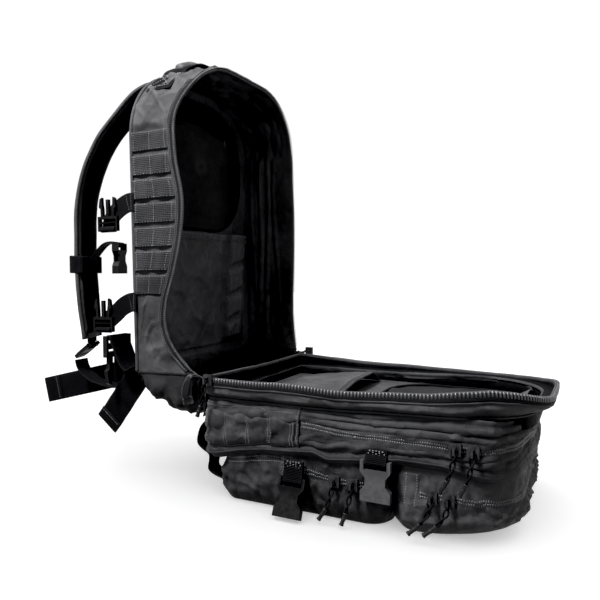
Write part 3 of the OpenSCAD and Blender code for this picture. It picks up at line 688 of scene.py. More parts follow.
def back_wall():
    """The side wall's cloth: slumped at its rim, flat under the pouch rows, and folded elsewhere."""
    s = np.linspace(0, back_arch.total, int(back_arch.total / 3.4))
    v = np.linspace(0, 1, 42)
    p, n = back_arch.at(s)
    rim = slump(p)
    w = rim[:, None] + (SEAM_D - rim[:, None]) * v
    ss = np.broadcast_to(s[:, None], w.shape)
    x, y = [np.broadcast_to(p[:, i:i + 1], w.shape) for i in (0, 1)]
    held = np.sin(np.pi * v) ** 0.6
    in_rows = smooth(x, 92, 106) * (1 - smooth(x, 312, 326)) * (np.abs(y) > 141)
    folds = 3.0 * ripple(ss, w, 3.1, 60, 24) + 3.2 * ridges(ss + 0.5 * w, w, 9.7, 34, 22)
    folds = folds + 4.5 * ridges(ss - 0.7 * w, w, 2.2, 46, 70) * smooth(x, 310, 345)
    low = (1 - smooth(x, 60, 110)) * np.sin(w / 6.0 + x / 38) * 1.6
    d = (folds + low) * (1 - in_rows) * held + (ripple(ss, w, 5.5, 30, 30) - 1) * in_rows * held
    d = (d + 1.5 * smooth(x, 300, 400) * held) * smooth(x, 1, 26)
    d = d - CORNER_TUCK * (1 - smooth(x, 0, 55)) * (1 - smooth(w, 40, 82)) * smooth(-y, 120, 141)
    for depth, height, slant in PLEATS:
        line = depth + slant * (x - 180) + 2.5 * np.sin(x / 47 + depth)
        fold = hump(w, line, 2.4) - 0.5 * hump(w, line + 6, 3.0)
        d = d - height * fold * smooth(y, 125, 139) * smooth(x, 20, 60) * (1 - smooth(x, 290, 345))
    flat = p[:, None] + n[:, None] * d[..., None]
    surf = Surface(np.concatenate([flat, w[..., None]], 2), s, v * SEAM_D)
    surf.rim = rim
    return surf


back_surf = back_wall()
HARNESS.skin("harness_side_wall", back_surf, WALL_T, CLOTH, "pack_cloth", "back_gusset")


def rim_depth(s):
    """The rim's depth behind the zip's plane, at distances s."""
    return np.interp(s, back_surf.s, back_surf.rim)


def back_t(s, depth):
    """The side wall's own distance across, for a depth behind the zip's plane."""
    rim = rim_depth(s)
    return (depth - rim) / (SEAM_D - rim) * SEAM_D


def rim_zip(part, name, surf, s, t_of, into, pitch, tooth, row, node):
    """A rim's tape, teeth, piping and stitches. t_of(s, d) is the place d from the rim, into is the
    direction away from the pack, and the teeth stand at the distance row."""
    line = s[2:-2]
    part.band(name + "_tape", surf, line, t_of(line, 0.6), t_of(line, 7.4), 1.0, TAPE, "webbing", node,
              lift=0.15, rows=4)
    part.tube(name + "_piping", surf.at(line, t_of(line, 8.4), 0.8)[0], 1.2, BINDING, "webbing")
    p, n = surf.at(line, t_of(line, row), 1.0)
    part.teeth(name + "_teeth", p + np.array(into) * 1.2, n, into, pitch, tooth, TEETH)
    part.sew_on(surf, line, t_of(line, 6.0), 1.3, pitch=3.4)


rim_zip(HARNESS, "harness_zip", back_surf, np.arange(0, back_arch.total, 3.0),
        lambda s, d: back_t(s, rim_depth(s) + d), DOWN, 2.7, (0.6, 1.5, 0.7), 0.9, "main_zip_back")

seam_p, seam_n = back_arch.at(np.arange(2, back_arch.total - 1, 3.0))
HARNESS.tube("back_seam_piping", points(*(seam_p + seam_n * 0.6).T, SEAM_D + 0.6), 2.3, BINDING, "pack_cloth")


def pouch_rows(side, first_x=116.5, pitch=30.5, count=7):
    """Rows of webbing on a side wall, sewn at their ends and in the middle."""
    for i in range(count):
        x0 = first_x + pitch * i - WEB_W / 2
        s = np.linspace(back_arch.s_at(side, x0), back_arch.s_at(side, x0 + WEB_W), 7)
        start = np.maximum(rim_depth(s) + 10.5, 14) + 1.6 * ripple(s, s, 2.2 + i, 9, 9, 1)
        puff = 2.4 * (0.7 + 0.5 * math.sin(2.1 * i + side))
        row = HARNESS.band(
            f"pouch_row_{SIDE[side]}_{i + 1}", back_surf, s, back_t(s, start), back_t(s, SEAM_D - 0.4),
            THIN_T, ROWS, "webbing", *only(i == 0 and side == NEAR, "side_pouch_webbing"), rows=15,
            bulge=lambda ss, tt, k: 0.25 + puff * np.sin(2 * np.pi * k) ** 2)
        HARNESS.sew_columns(row, (1, 7, 13), 0.4, pitch=2.8, size=0.6)
        for end in (0, -1):
            edge = row.p[end] * 0.88 + row.p[3] * 0.12
            HARNESS.sew(edge + row.n[end] * 0.3, row.n[end], pitch=4.2)


for side in (NEAR, FAR):
    pouch_rows(side)


# ---------------------------------------------------------------- harness half: panels and pockets

BACK_MIDDLE, DIVIDER_MIDDLE = (180, 0), (198, 0)
arch_ring = Arch(PACK_X, PACK_LEN, PACK_W, TOP_R, 3).ring(260)


def quilt(x, y, k):
    """The depth of the back panel's slightly puffed outside."""
    return BACK_D + 0.6 - 1.6 * k ** 8 + 0.9 * ripple(x, y, 4.4, 60, 60)


HARNESS.disc("back_panel_cloth", inset(arch_ring, 1.0, 180), BACK_MIDDLE,
             lambda x, y, k: quilt(x, y, k) - 0.8, 3.0, CLOTH, "pack_cloth", "back_panel", rings=30)
for reach in (9.0, 13.0):
    x, y = inset(arch_ring, reach, 180).T
    HARNESS.sew(points(x, y, quilt(x, y, 0.9) - 0.7), UP, pitch=5)
HARNESS.disc("harness_lining", inset(arch_ring, 4.5, 180), BACK_MIDDLE,
             lambda x, y, k: 91.4 - 1.6 * (1 - k) * (1 + ripple(x, y, 8.1, 80, 50)), 0.5, LINING, "lining",
             rings=26, up=-1)


def sleeve(x0=20, x1=191, half=120, depth=89.6):
    """Slip pocket for a water bladder: slack cloth with a hemmed mouth and a pleat down one side."""
    x, y = np.linspace(x0, x1, 70), np.linspace(-half, half, 110)
    xx, yy = np.meshgrid(x, y, indexing="ij")
    k = (xx - x0) / (x1 - x0)
    sides = smooth(np.clip((half - np.abs(yy)) / 20, 0, 1))
    slack = smooth(k, 0.0, 0.5) * sides * (3 + 4 * smooth(k, 0.4, 1))
    folds = 2.6 * ripple(xx * 0.8 + yy * 0.55, yy - xx * 0.4, 1.3, 62, 24)
    folds = folds + 2.2 * ridges(xx + 0.9 * yy, yy, 4.1, 60, 46)
    across = yy + 0.06 * (110 - xx)
    pleat = smooth(across, 52, 57) * (1 - smooth(across, 88, 112))
    dents = sum(hump(xx, at + 0.25 * (yy - 75), 5.0) for at in (60, 99, 143))
    rolls = 2.0 * ridges(xx * 0.5, yy, 8.8, 26, 16)
    out = slack + np.maximum(0, folds) * sides * (1 - pleat) + pleat * (13 + rolls - 8.0 * dents)
    surf = Surface(points(xx, yy, depth - out * smooth(k, 0, 0.08)), x, y).facing(DOWN)
    HARNESS.skin("hydration_sleeve_cloth", surf, 1.0, LINING, "lining", "hydration_sleeve")
    hem = Surface(surf.p[-5:] + surf.n[-5:] * 0.9, x[-5:], y, n=surf.n[-5:])
    HARNESS.skin("hydration_sleeve_hem", hem, 0.7, LINING, "lining")
    HARNESS.sew_rows(surf, (-5, -2), 1.3, pitch=4.2)
    HARNESS.sew_columns(surf, (1, -2), pitch=4.2)


sleeve()


def lining_mesh(x=290, depth=89.4, zip_x=352.0):
    """A flat mesh pocket above the sleeve, with its zip."""
    ring = ring_points(188, 224, 79, 150, x)
    HARNESS.disc("lining_mesh", ring, (x, 0),
                 lambda x, y, k: depth - 4.5 * (1 - k ** 3) - 1.2 * ripple(x, y, 6.6, 40, 90) * (1 - k ** 4),
                 0.8, MESH, "mesh", "lining_mesh_pocket", rings=20, up=-1)
    HARNESS.tube("lining_mesh_binding", points(*ring.T, depth), 2.0, WEBBING, "mesh", closed=True)
    path = points(zip_x, np.linspace(-92, 92, 70), depth - 3.2)
    HARNESS.strip("lining_mesh_zip_tape", path, ALONG, 22, 0.9, TAPE, "webbing")
    # The teeth take the near-black inner cloth, whose darkness is painted shade.
    HARNESS.teeth("lining_mesh_zip_teeth", path - (0, 0, 0.8), DOWN, ALONG, 2.2, (0.7, 1.9, 0.8), SHADED_INNER)


lining_mesh()


# ---------------------------------------------------------------- back pads, blown up by simulation

def fresh_mesh(obj):
    """The object's mesh with its modifiers applied, and its points."""
    mesh = bpy.data.meshes.new_from_object(obj.evaluated_get(bpy.context.evaluated_depsgraph_get()))
    return mesh, np.array([v.co for v in mesh.vertices])


def swell(obj, voxel=0.005, pressure=4.0, cap=0.0035, frames=20):
    """Blows a closed mesh up like a stuffed pad, and keeps its points within cap of their places."""
    scene = bpy.context.scene
    bpy.context.view_layer.objects.active = obj
    remesh = obj.modifiers.new("remesh", "REMESH")
    remesh.mode, remesh.voxel_size = "VOXEL", voxel
    start, before = fresh_mesh(obj)
    obj.modifiers.clear()
    obj.data = start
    cloth = obj.modifiers.new("cloth", "CLOTH")
    cloth.settings.effector_weights.gravity = 0
    cloth.settings.use_pressure = True
    cloth.settings.uniform_pressure_force = pressure
    cloth.settings.quality = 6
    cloth.point_cache.frame_start, cloth.point_cache.frame_end = 1, frames
    for f in range(1, frames + 1):
        scene.frame_set(f)
    final, after = fresh_mesh(obj)
    obj.modifiers.clear()
    move = after - before
    move *= np.minimum(1, cap / np.maximum(np.linalg.norm(move, axis=1, keepdims=True), 1e-9))
    final.vertices.foreach_set("co", (before + move).astype(np.float32).ravel())
    final.polygons.foreach_set("use_smooth", [True] * len(final.polygons))
    obj.data = final
    scene.frame_set(1)


def pad(name, x, y, r, cx, cy, *replaces):
    """One air-mesh pad on the back panel, with a bound edge."""
    crown = lambda a, b, k: 96.8 + 8.6 * (1 - k ** 4) ** 0.6
    shape = Part(None, BACK).disc(name, ring_points(x - 6, y - 6, r - 3, 96, cx, cy), (cx, cy), crown, 8.4,
                                  SPACER, None, rings=12)
    swell(shape)
    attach(shape, HARNESS.body)
    if replaces:
        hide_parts(*replaces)
    edge = ring_points(x - 2, y - 2, r - 1, 96, cx, cy)
    HARNESS.tube(name + "_binding", points(*edge.T, 97.6), 1.9, BINDING, "mesh", closed=True)


pad("lumbar_pad", 60, 190, 24, 66, 0, "back_pads")
for side in (NEAR, FAR):
    pad(f"upper_pad_{SIDE[side]}", 132, 96, 22, 288, side * 62)
    pad(f"middle_pad_{SIDE[side]}", 112, 96, 20, 160, side * 62)


# ---------------------------------------------------------------- carry handle

HANDLE_D = 64.0     # the handle's depth behind the zip's plane


def handle():
    """A webbing handle with a rolled grip, box-stitched to the top of the side wall."""
    a = np.radians([52, 46, 40, 34, 28])
    reach = TOP_R + 2.2
    sewn = np.stack([PACK_LEN - TOP_R + reach * np.cos(a), reach * np.sin(a) + PACK_W / 2 - TOP_R], 1)
    half = np.vstack([sewn, [[403, 84], [414, 64], [421, 36]]])
    line = spline(np.vstack([half, half[::-1] * [1, -1]]), 6)
    path = points(*line.T, HANDLE_D)
    HARNESS.web("carry_handle_webbing", path, UP, 2.6, "grab_handle", crown=0.5, wave=0.5, w=BELT_W)
    s, t = lengths(line), along(line)
    for centre in (22, s[-1] - 22):
        def point(a, b):
            d = centre + a * 18
            p, tangent = sample(d, s, line), sample(d, s, t)
            n = points(tangent[:, 1], -tangent[:, 0], 0)
            n *= np.sign(np.sum(n[:, :2] * (p - [200, 0]), 1, keepdims=True))
            return points(*p.T, HANDLE_D + b * 16) + n * 2.9, n

        HARNESS.box_stitch(point)
    grip = path[(s > 62) & (s < s[-1] - 62)]
    HARNESS.tube("carry_handle_grip", grip - (1.0, 0, 0), 7.5, CLOTH, "pack_cloth", sides=12)


handle()


# ---------------------------------------------------------------- fabric hinge

def hinge_cloth(length=370, n_u=150):
    """The bottom panel and lower corners, slumped below the hinge: length is its run round the end."""
    sag = spline([[1, 96], [-14, 80], [-32, 65], [-46, 48], [-51, 18], [-52, 2]], 6)
    columns = []
    for low, depth in sag[1:]:
        arch = Arch(low, 200, PACK_W, 20, max(min(24, PACK_X - low), 0.5))
        s_top = arch.s_at(NEAR, PACK_X)
        p, _ = arch.at(np.mod(np.linspace(-s_top, s_top, n_u), arch.total))
        columns.append(points(*p.T, depth))
    grid = np.array(columns).transpose(1, 0, 2)[:, ::-1]
    s, t = np.linspace(0, length, n_u), lengths(grid[n_u // 2])
    n = Surface(grid, s, t).facing((-1, 0, 0)).n
    ss, tt = np.meshgrid(s, t, indexing="ij")
    held = (smooth(ss, 0, 30) * (1 - smooth(ss, length - 30, length)) * smooth(tt, 0, 20)
            * (1 - smooth(tt, t[-1] - 14, t[-1])))
    folds = (ripple(ss + tt * 0.4, tt, 12.5, 58, 26) + 0.5 * ripple(ss, tt, 2.9, 22, 22)) * 3.0
    folds = folds + 3.5 * ridges(ss + tt, tt, 5.5, 26, 40)
    end = np.minimum(ss, length - ss)
    tuck = CORNER_TUCK * (1 - smooth(end, 50, 95)) * (1 - smooth(tt, 40, 88)) * smooth(-grid[..., 1], 20, 90)
    slack = 11.0 * hump(tt, 0.72 * t[-1], 24)
    grid = grid + n * ((folds + slack) * held - 1.0 - tuck)[..., None]
    # The bottom panel takes the darker copy of the pack cloth: painted shade.
    cloth = Part(None, BACK).skin("hinge_gusset_cloth", Surface(grid, s, t, n=n), 2.6, SHADED_BASE_CLOTH,
                                  "pack_cloth", "hinge_gusset")
    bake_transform(cloth)


def hinge_fold():
    """The hinge cloth's edge, sewn down on the pocket half's end."""
    y = np.linspace(-128, 128, 90)
    fold = spline([[0.4, 99], [2.2, 108], [3.4, 120], [4.4, 133], [5.6, 146]], 5)
    grid = np.stack([points(x - 0.5 - 1.6 * np.abs(ripple(y, z, 4.9, 30, 14)) * smooth(146 - z, 0, 20), y, z)
                     for x, z in fold], 1)
    flap = Surface(grid, y, lengths(fold), n=np.broadcast_to((-1.0, 0, 0), grid.shape))
    POCKET.skin("hinge_fold", flap, 1.6, CLOTH, "pack_cloth")
    POCKET.sew(grid[:, -2] - (0.2, 0, 0), (-1, 0, 0))


def zip_end(side):
    """The main zip's doubled end at one side of the hinge, folded over and hanging."""
    back = 9 if side == FAR else 0
    for i, (reach, hang, cloth) in enumerate(((0, 0, CLOTH), (2.6, 7, TAPE))):
        line = spline([[5 + back, 143, 149], [back - 3, 146 + reach, 151 - back / 3],
                       [back - 9, 147 + reach, 143], [back - 12, 146 + reach, 130],
                       [back - 10, 145 + reach, 117 + hang]], 6)
        path, name = line * [1, side, 1], f"zip_end_{SIDE[side]}_{i + 1}"
        POCKET.strip(name, path, (1, 0.2 * side, 0.3), 15 - 3 * i, 1.4, cloth, "webbing", crown=0.6, wave=1.0,
                     seed=i)
        for edge, mark in ((-1, "a"), (1, "b")):
            POCKET.tube(f"{name}_bound_{mark}", path + (edge * (7 - 1.5 * i), 0, edge * 2.0), 0.9, BINDING,
                        "webbing")


hinge_cloth()
hinge_fold()
for side in (NEAR, FAR):
    zip_end(side)


# ---------------------------------------------------------------- pocket half: main wall and rim

def wall_surface(low, high, z, share, push, n=380):
    """A wall between two outlines. z and share (0 at the low outline, 1 at the high one) run
    up it, and push(s, z, p) gives how far it moves outward and up."""
    f = np.linspace(0, 1, n, endpoint=False)
    (p0, n0), (p1, n1) = low.at(f * low.total), high.at(f * high.total)
    k = np.asarray(share, float)[None, :, None]
    p = p0[:, None] * (1 - k) + p1[:, None] * k
    out = unit(n0[:, None] * (1 - k) + n1[:, None] * k)
    ss, zz = np.meshgrid(f * high.total, z, indexing="ij")
    d, rise = push(ss, zz, p)
    p = p + out * d[..., None]
    return Surface(np.concatenate([p, (zz + rise)[..., None]], 2), f * high.total, z, True, high)


rim_arch = Arch(6, PACK_LEN, PACK_W, TOP_R, 14)
seam_arch = Arch(6, PACK_LEN - 14, PACK_W - 8, TOP_R - 8, 14)

# How far the rim stands above the zip's plane: distance from the hinge, near side, far side
RIM_RISE = np.array([[0, 2, -2], [60, 3, -6], [110, 4, -8], [185, 2, -9], [265, 5, -11], [290, 7, -12],
                     [320, 12, -13], [351, 14, -12], [370, 11, -10], [385, 8, -8], [404, 3, -4]]).T


def rim_rise(p):
    """How far the rim stands above the zip's plane at outline points p."""
    near = 1 - smooth(p[..., 1], -120, 40)
    place, near_rise, far_rise = RIM_RISE
    return np.interp(p[..., 0], place, near_rise) * near + np.interp(p[..., 0], place, far_rise) * (1 - near)


def front_wall():
    """The band of cloth under the main zip, from the second compartment's seam to the rim."""
    z = np.concatenate([np.linspace(BAND_Z - 2.5, 139.5, 12), np.linspace(141, RIM_Z, 6)])

    def push(s, zz, p):
        k = np.clip((zz - BAND_Z) / 14, 0, 1)
        bulge = 3.0 * np.sin(np.pi * k) ** 1.2 - 3.5 * (1 - smooth(k, 0, 0.3))
        folds = 1.7 * ripple(s, zz, 6.2, 75, 10) + 1.5 * ridges(s + 2 * zz, zz, 1.2, 40, 12) - 0.5
        rise = (rim_rise(p) + 0.8 * ripple(s, 4, 5.8, 60, 90, 1)) * smooth(zz, BAND_Z - 6, 146)
        low = 5.0 * smooth(p[..., 0], 120, 300) * (1 - smooth(zz, BAND_Z - 3, 140))
        return bulge + folds * np.sin(np.pi * k), rise + low

    return wall_surface(seam_arch, rim_arch, z, smooth(z, BAND_Z - 6, 143), push)


front_surf = front_wall()
POCKET.skin("pocket_side_wall", front_surf, WALL_T, CLOTH, "pack_cloth", "front_gusset")
rim_zip(POCKET, "pocket_zip", front_surf,
        np.arange(rim_arch.s_near - 2, rim_arch.total - rim_arch.s_near + 5, 3.0),
        lambda s, d: RIM_Z - d, UP, 4.0, (1.0, 2.9, 1.4), 3.0, "main_zip_front")
seam_path, _ = front_surf.at(np.arange(0, rim_arch.total, 3.0), BAND_Z - 0.5, 0.9)
POCKET.tube("second_seam_piping", seam_path, 1.3, BINDING, "pack_cloth", closed=True)


def wall_lining():
    """Near-black lining inside the pocket half's wall, from under the zip down to the divider: its darkness
    is painted shade under the rim.
    """
    keep = slice(2, -2)
    inner = front_surf.p[:, keep] - front_surf.n[:, keep] * (WALL_T + 0.3)
    low = inner[:, :1] * [1, 1, 0] + [0, 0, DIVIDER_Z + 0.1]
    t = np.append([DIVIDER_Z + 0.6], front_surf.t[keep])
    POCKET.skin("pocket_wall_lining", Surface(np.concatenate([low, inner], 1), front_surf.s, t, True), 0.6,
                SHADED_INNER, "lining")


wall_lining()
POCKET.disc("divider_lining", inset(seam_arch.ring(240), 3.2, 198), DIVIDER_MIDDLE,
            lambda x, y, k: DIVIDER_Z - 1.4 * k ** 10 + 0.5 * ripple(x, y, 3.3, 50, 50), 4.9, LINING,
            "divider_board", "divider_panel", rings=24)


def slip_pocket(x0=18, x1=153, half=118):
    """Inside the pocket half: a slack pocket with a hemmed mouth."""
    x, y = np.linspace(x0, x1, 60), np.linspace(-half, half, 80)
    xx, yy = np.meshgrid(x, y, indexing="ij")
    k = (xx - x0) / (x1 - x0)
    sides = smooth(np.clip((half - np.abs(yy)) / 34, 0, 1))
    lean = 0.45 + 0.55 * smooth(yy, -50, 20)
    rise = sides * (8 * smooth(k, 0, 0.5) + 7 * smooth(k, 0.3, 0.9)) * lean
    folds = np.abs(3.0 * ripple(xx * 0.9 + yy * 0.4, yy, 7.7, 60, 30))
    folds = folds + 3.0 * ridges(xx + yy, yy, 2.7, 70, 40)
    folds = folds * sides * smooth(k, 0, 0.4) * (1 - 0.75 * smooth(k, 0.6, 0.95))
    surf = Surface(points(xx, yy, DIVIDER_Z + 2 + rise + folds), x, y)
    POCKET.skin("divider_slip_cloth", surf, 1.0, LINING, "lining", "divider_slip_pocket")
    POCKET.skin("divider_slip_hem", Surface(surf.p[-5:] + (0, 0, 0.9), x[-5:], y), 0.7, BINDING, "lining")
    for i in (-5, -2):
        POCKET.sew(surf.p[i] + (0, 0, 1.2), UP)


def divider_mesh(x=276):
    """Inside the pocket half: a mesh pocket with two cloth tabs beside it."""
    ring = ring_points(178, 214, 59, 150, x)
    POCKET.disc("divider_mesh", ring, (x, 0),
                lambda a, b, k: 117.0 + 5 * (1 - k ** 3) + 2.2 * ripple(a, b, 2.6, 60, 50), 0.8, MESH, "mesh",
                "divider_mesh_pocket", rings=20)
    POCKET.tube("divider_mesh_binding", points(*ring.T, 117.6), 2.0, WEBBING, "mesh", closed=True)
    k = np.linspace(0, 1, 20)
    for i, (start, end, high) in enumerate((((350, -84), (366, -50), 20), ((362, -46), (377, 6), 24))):
        flat = np.array(start) + (np.array(end) - start) * k[:, None]
        path = points(*flat.T, 118 + high * np.sin(np.pi * k) ** 0.7)
        POCKET.strip(f"divider_cloth_tab_{i + 1}", path, (1, 0.1, 0.5), 18, 1.2, LINING, "lining", wave=2.5,
                     seed=i)


slip_pocket()
divider_mesh()


# ---------------------------------------------------------------- second compartment and front pockets

second_arch = Arch(8, PACK_LEN - 18, SECOND_W, 44, 14)

# The waviness of the second compartment's lower edge, by distance from the hinge
EDGE_RISE = np.array([[0, -13], [27, -11], [60, -3], [94, 2], [125, 4], [158, 7], [176, 1], [200, 4],
                      [226, 7], [259, 12], [304, 12], [340, 6], [388, 2]]).T


def second_wall():
    """The second compartment's wall: a rolled lower edge, folds, pleats at its top and a drawn-in end."""
    z = np.linspace(EDGE_Z - 7, BAND_Z + 0.5, 44)

    def push(s, zz, p):
        x, low = p[..., 0], zz - EDGE_Z
        roll = 1.2 * hump(low, 0, 2.6) - 1.2 * hump(low, 6, 3.0) - 5.0 * (low < -2)
        pleats = 1.5 * np.sin((zz + 2.5 * ripple(s, zz, 3.7, 120, 30, 1)) * 2 * np.pi / 7.2)
        pleats = pleats * smooth(zz, 105, 111) * (1 - smooth(zz, 121, 126)) * smooth(x, 138, 165)
        folds = 1.9 * ripple(s, zz, 2.2, 70, 12) + 2.8 * ridges(s - zz, zz, 8.8, 46, 16)
        held = smooth(low, 2, 12) * (1 - smooth(zz, 118, BAND_Z)) * (1 - 0.85 * hump(zz, ZIP2_Z, 7.0))
        taper = 13 * smooth(x, 344, 376) * (0.35 + 0.65 * smooth(np.abs(p[..., 1]), 30, 110))
        rise = np.interp(x, *EDGE_RISE) * (1 - smooth(zz, EDGE_Z, ZIP2_Z - 4))
        slope = 4.0 * smooth(x, 200, 300) * (1 - smooth(x, 340, 380)) * smooth(zz, 106, BAND_Z)
        return roll + pleats + folds * held - 5.5 * smooth(zz, 112, BAND_Z) - taper, rise + slope

    return wall_surface(second_arch, second_arch, z, np.ones(len(z)), push)


second_surf = second_wall()
# The second compartment takes the darker copy of the pack cloth: painted shade.
POCKET.bowl("second_compartment_cloth", second_surf, 2.6, 60.0, DIVIDER_MIDDLE[0], SHADED_FRONT_CLOTH, "pack_cloth",
            "second_compartment")


def front_pocket(name, x0, middle, x1, rt, tuck, seed, cloth, lift=0.0, floor_z=1.7):
    """A front pocket from x0 to x1: its wall curves under towards the face that the pack lies on,
    and its end is held up by lift."""
    w = PACK_W - 22
    high, low = Arch(x0, x1, w, rt, 14), Arch(x0 + 4, x1 - tuck / 2, w - 2 * tuck, rt - 6, 14)
    z = np.concatenate([[floor_z, 3.0, 5.0, 8, 11], np.linspace(14, EDGE_Z + 2, 26)])

    def push(s, zz, p):
        held = np.sin(np.pi * np.clip((zz - floor_z) / (EDGE_Z - 4), 0, 1)) ** 0.8
        flat = 1 - 0.8 * hump(zz, ZIP1_Z, 6.0) * (p[..., 0] > x0 + 90)
        folds = 1.8 * ripple(s, zz, seed, 13, 40) + 1.8 * ripple(s - 0.5 * zz, zz, seed + 3, 34, 26)
        creases = 3.4 * ridges(s + 0.8 * zz, zz, seed + 6, 26, 34)
        creases = creases + 2.6 * ridges(s - 0.25 * zz, zz, seed + 2, 15, 70)
        return ((folds + creases) * flat + 1.8 * hump(zz, 14, 9)) * held, np.zeros_like(s)

    surf = wall_surface(low, high, z, np.clip((z - floor_z) / 15, 0, 1) ** 0.5, push, 320)
    height = surf.p[..., 2]
    height += lift * smooth(surf.p[..., 0], x0 + 20, x1) * np.clip(1 - height / ZIP1_Z, 0, 1)
    POCKET.bowl(name + "_cloth", surf, 2.2, floor_z, middle, cloth, "pack_cloth", name)
    return surf


# The lower pocket takes the darker copy of the pack cloth (painted shade); the upper pocket takes the plain
# one.
lower_surf = front_pocket("lower_pocket", 32, 137, 242, 30, 7, 4.1, SHADED_FRONT_CLOTH)
upper_surf = front_pocket("upper_pocket", 254, 316, 376, 50, 14, 6.6, CLOTH, 15.0)


def closed_zip(name, surf, z, x_start, climb, *replaces):
    """A closed zip round a compartment's top end: tape, two rows of coil, piping and stitches. Its
    ends climb down to it from above."""
    s = np.arange(surf.arch.s_at(NEAR, x_start), surf.arch.s_at(FAR, x_start), 3.0)
    z = z + climb * (1 - smooth(np.minimum(s - s[0], s[-1] - s), 0, 60))
    POCKET.band(name + "_tape", surf, s, z - 7.0, z + 7.0, 1.0, TAPE, "webbing", *replaces, rows=7)
    for row, dz in ((1, -1.9), (2, 1.9)):
        p, n = surf.at(s, z + dz, 1.9)
        POCKET.teeth(f"{name}_coil_{row}", p, n, UP, 2.5, (0.72, 1.45, 0.8), TEETH)
    for dz in (-5.2, 5.2):
        POCKET.sew_on(surf, s, z + dz, 1.35, pitch=3.6, size=0.5)
    for level, dz in (("low", -7.6), ("high", 7.6)):
        POCKET.tube(f"{name}_piping_{level}", surf.at(s, z + dz, 1.0)[0], 1.1, BINDING, "pack_cloth")


closed_zip("second_zip", second_surf, ZIP2_Z, 143, 4.0, "pocket_zips")
closed_zip("lower_zip", lower_surf, ZIP1_Z, 133, 6.0)
closed_zip("upper_zip", upper_surf, ZIP1_Z, 280, 0.0)


def side_panel(side, x0=11, x1=141, top=125.0, cell=29.5, first_cell=14):
    """A stitched panel on the second compartment, whose row of webbing makes cells."""
    arch, name = second_surf.arch, f"side_panel_{SIDE[side]}"
    s = arch.span(side, x0, x1, 70)
    x = x0 + np.abs(s - arch.s_at(side, x0))
    cells = np.abs(np.sin(np.pi * (x - first_cell) / cell))[:, None]
    low = EDGE_Z + 3.0

    def bulge(ss, tt, k):
        wrinkle = 1.6 * ripple(ss + 0.7 * tt, tt, 5.1, 22, 15) + 1.8 * ridges(ss - tt, tt, 7.7, 30, 22)
        return 1.2 + (2.4 * cells ** 0.7 * np.sin(np.pi * k) ** 0.8 + wrinkle) * np.sin(np.pi * k) ** 0.5

    # The panel and its row take the darker copy of the pack cloth: painted shade.
    band = POCKET.band(name, second_surf, s, low, top, 1.3, SHADED_FRONT_CLOTH, "pack_cloth",
                       *only(side == NEAR, "front_pouch_webbing"), lift=0.4, rows=30, bulge=bulge)
    inner = slice(3, -3)
    rows = [int(round(29 * (z - low) / (top - low))) for z in (80, 85, 90, 95, 100, 105, 109)]
    p, n = band.p[inner][:, rows], band.n[inner][:, rows]
    sag = 1.3 * cells[inner] * [0, .3, .6, 1, 1, 1.3, 1.6]
    webbing = Surface(p + n * (1.5 + sag)[..., None], s[inner], np.linspace(0, 27, len(rows))).facing(n)
    POCKET.skin(name + "_row", webbing, 1.3, SHADED_FRONT_CLOTH, "webbing")
    for i in range(5):
        j = int(np.argmin(np.abs(x[inner] - first_cell - i * cell)))
        beside = np.clip([j - 1, j + 1], 0, len(p) - 1)
        POCKET.sew_rows(webbing, beside, pitch=2.6, size=0.55)
    POCKET.sew_columns(band, (1, 25, 28), pitch=3.6, size=0.5)
    POCKET.sew_rows(band, (1, -2), pitch=3.2, size=0.5)


for side in (NEAR, FAR):
    side_panel(side)
edge_path, _ = second_surf.at(np.arange(0, second_surf.s[-1], 3.0), EDGE_Z - 0.5, 1.6)
POCKET.tube("second_edge_binding", edge_path, 1.15, BINDING, "pack_cloth", closed=True)


def upright_tab(name, surf, side, x0, x1, z0, z1):
    """An upright strip of cloth sewn over a front pocket's side."""
    s = surf.arch.span(side, x0, x1, 7)
    band = POCKET.band(f"{name}_{SIDE[side]}", surf, s, z0, z1, 1.6, CLOTH, "webbing", lift=0.7, rows=16)
    POCKET.sew_rows(band, (1, -2), pitch=2.8, size=0.55)


def pocket_trim(side):
    """A double-stitched top band on the lower pocket, and an upright tab on each front pocket."""
    s = lower_surf.arch.span(side, 35, 118, 40)
    top = 56 + 9 * smooth(np.abs(s - lower_surf.arch.s_at(side, 35)), 0, 70)
    POCKET.band(f"lower_pocket_band_{SIDE[side]}", lower_surf, s, top - 9, top, 1.4, ROWS, "pack_cloth",
                lift=0.5)
    for dz in (-7.2, -1.8):
        POCKET.sew_on(lower_surf, s, top + dz, 2.3, pitch=3.0, size=0.6)
    upright_tab("lower_pocket_tab", lower_surf, side, 115, 130, 8, 66)
    upright_tab("upper_pocket_tab", upper_surf, side, 263, 279, 34, 68)


for side in (NEAR, FAR):
    pocket_trim(side)


def floor_rows():
    """Rows of pouch webbing on the faces of the front pockets, which the pack lies on."""
    for i, (x, half) in enumerate([(53 + 38 * k, 100) for k in range(5)] + [(292, 80), (330, 80)]):
        POCKET.web(f"floor_row_{i + 1}", points(x, np.linspace(-half, half, 60), 0.9), ALONG, 1.5)
        for y in np.linspace(-half + 6, half - 6, 5):
            POCKET.sew(points(np.linspace(x - 10, x + 10, 6), y, 0.05), DOWN, pitch=3.4, size=0.2)


floor_rows()

# Two short straps on the pack's bottom end, each hanging in a loop before the pockets
LASH_LINE = spline([[7.2, 95], [-3, 90], [-10, 78], [-12.5, 64], [-6, 56], [4, 50], [5, 42], [4, 31],
                    [12, 25], [25, 22]], 5)
for side in (NEAR, FAR):
    POCKET.web(f"lash_strap_{SIDE[side]}", upright(LASH_LINE, side * 111.5), ACROSS, WEB_T,
               *only(side == NEAR, "bottom_lash_straps"), wave=0.5, seed=side)


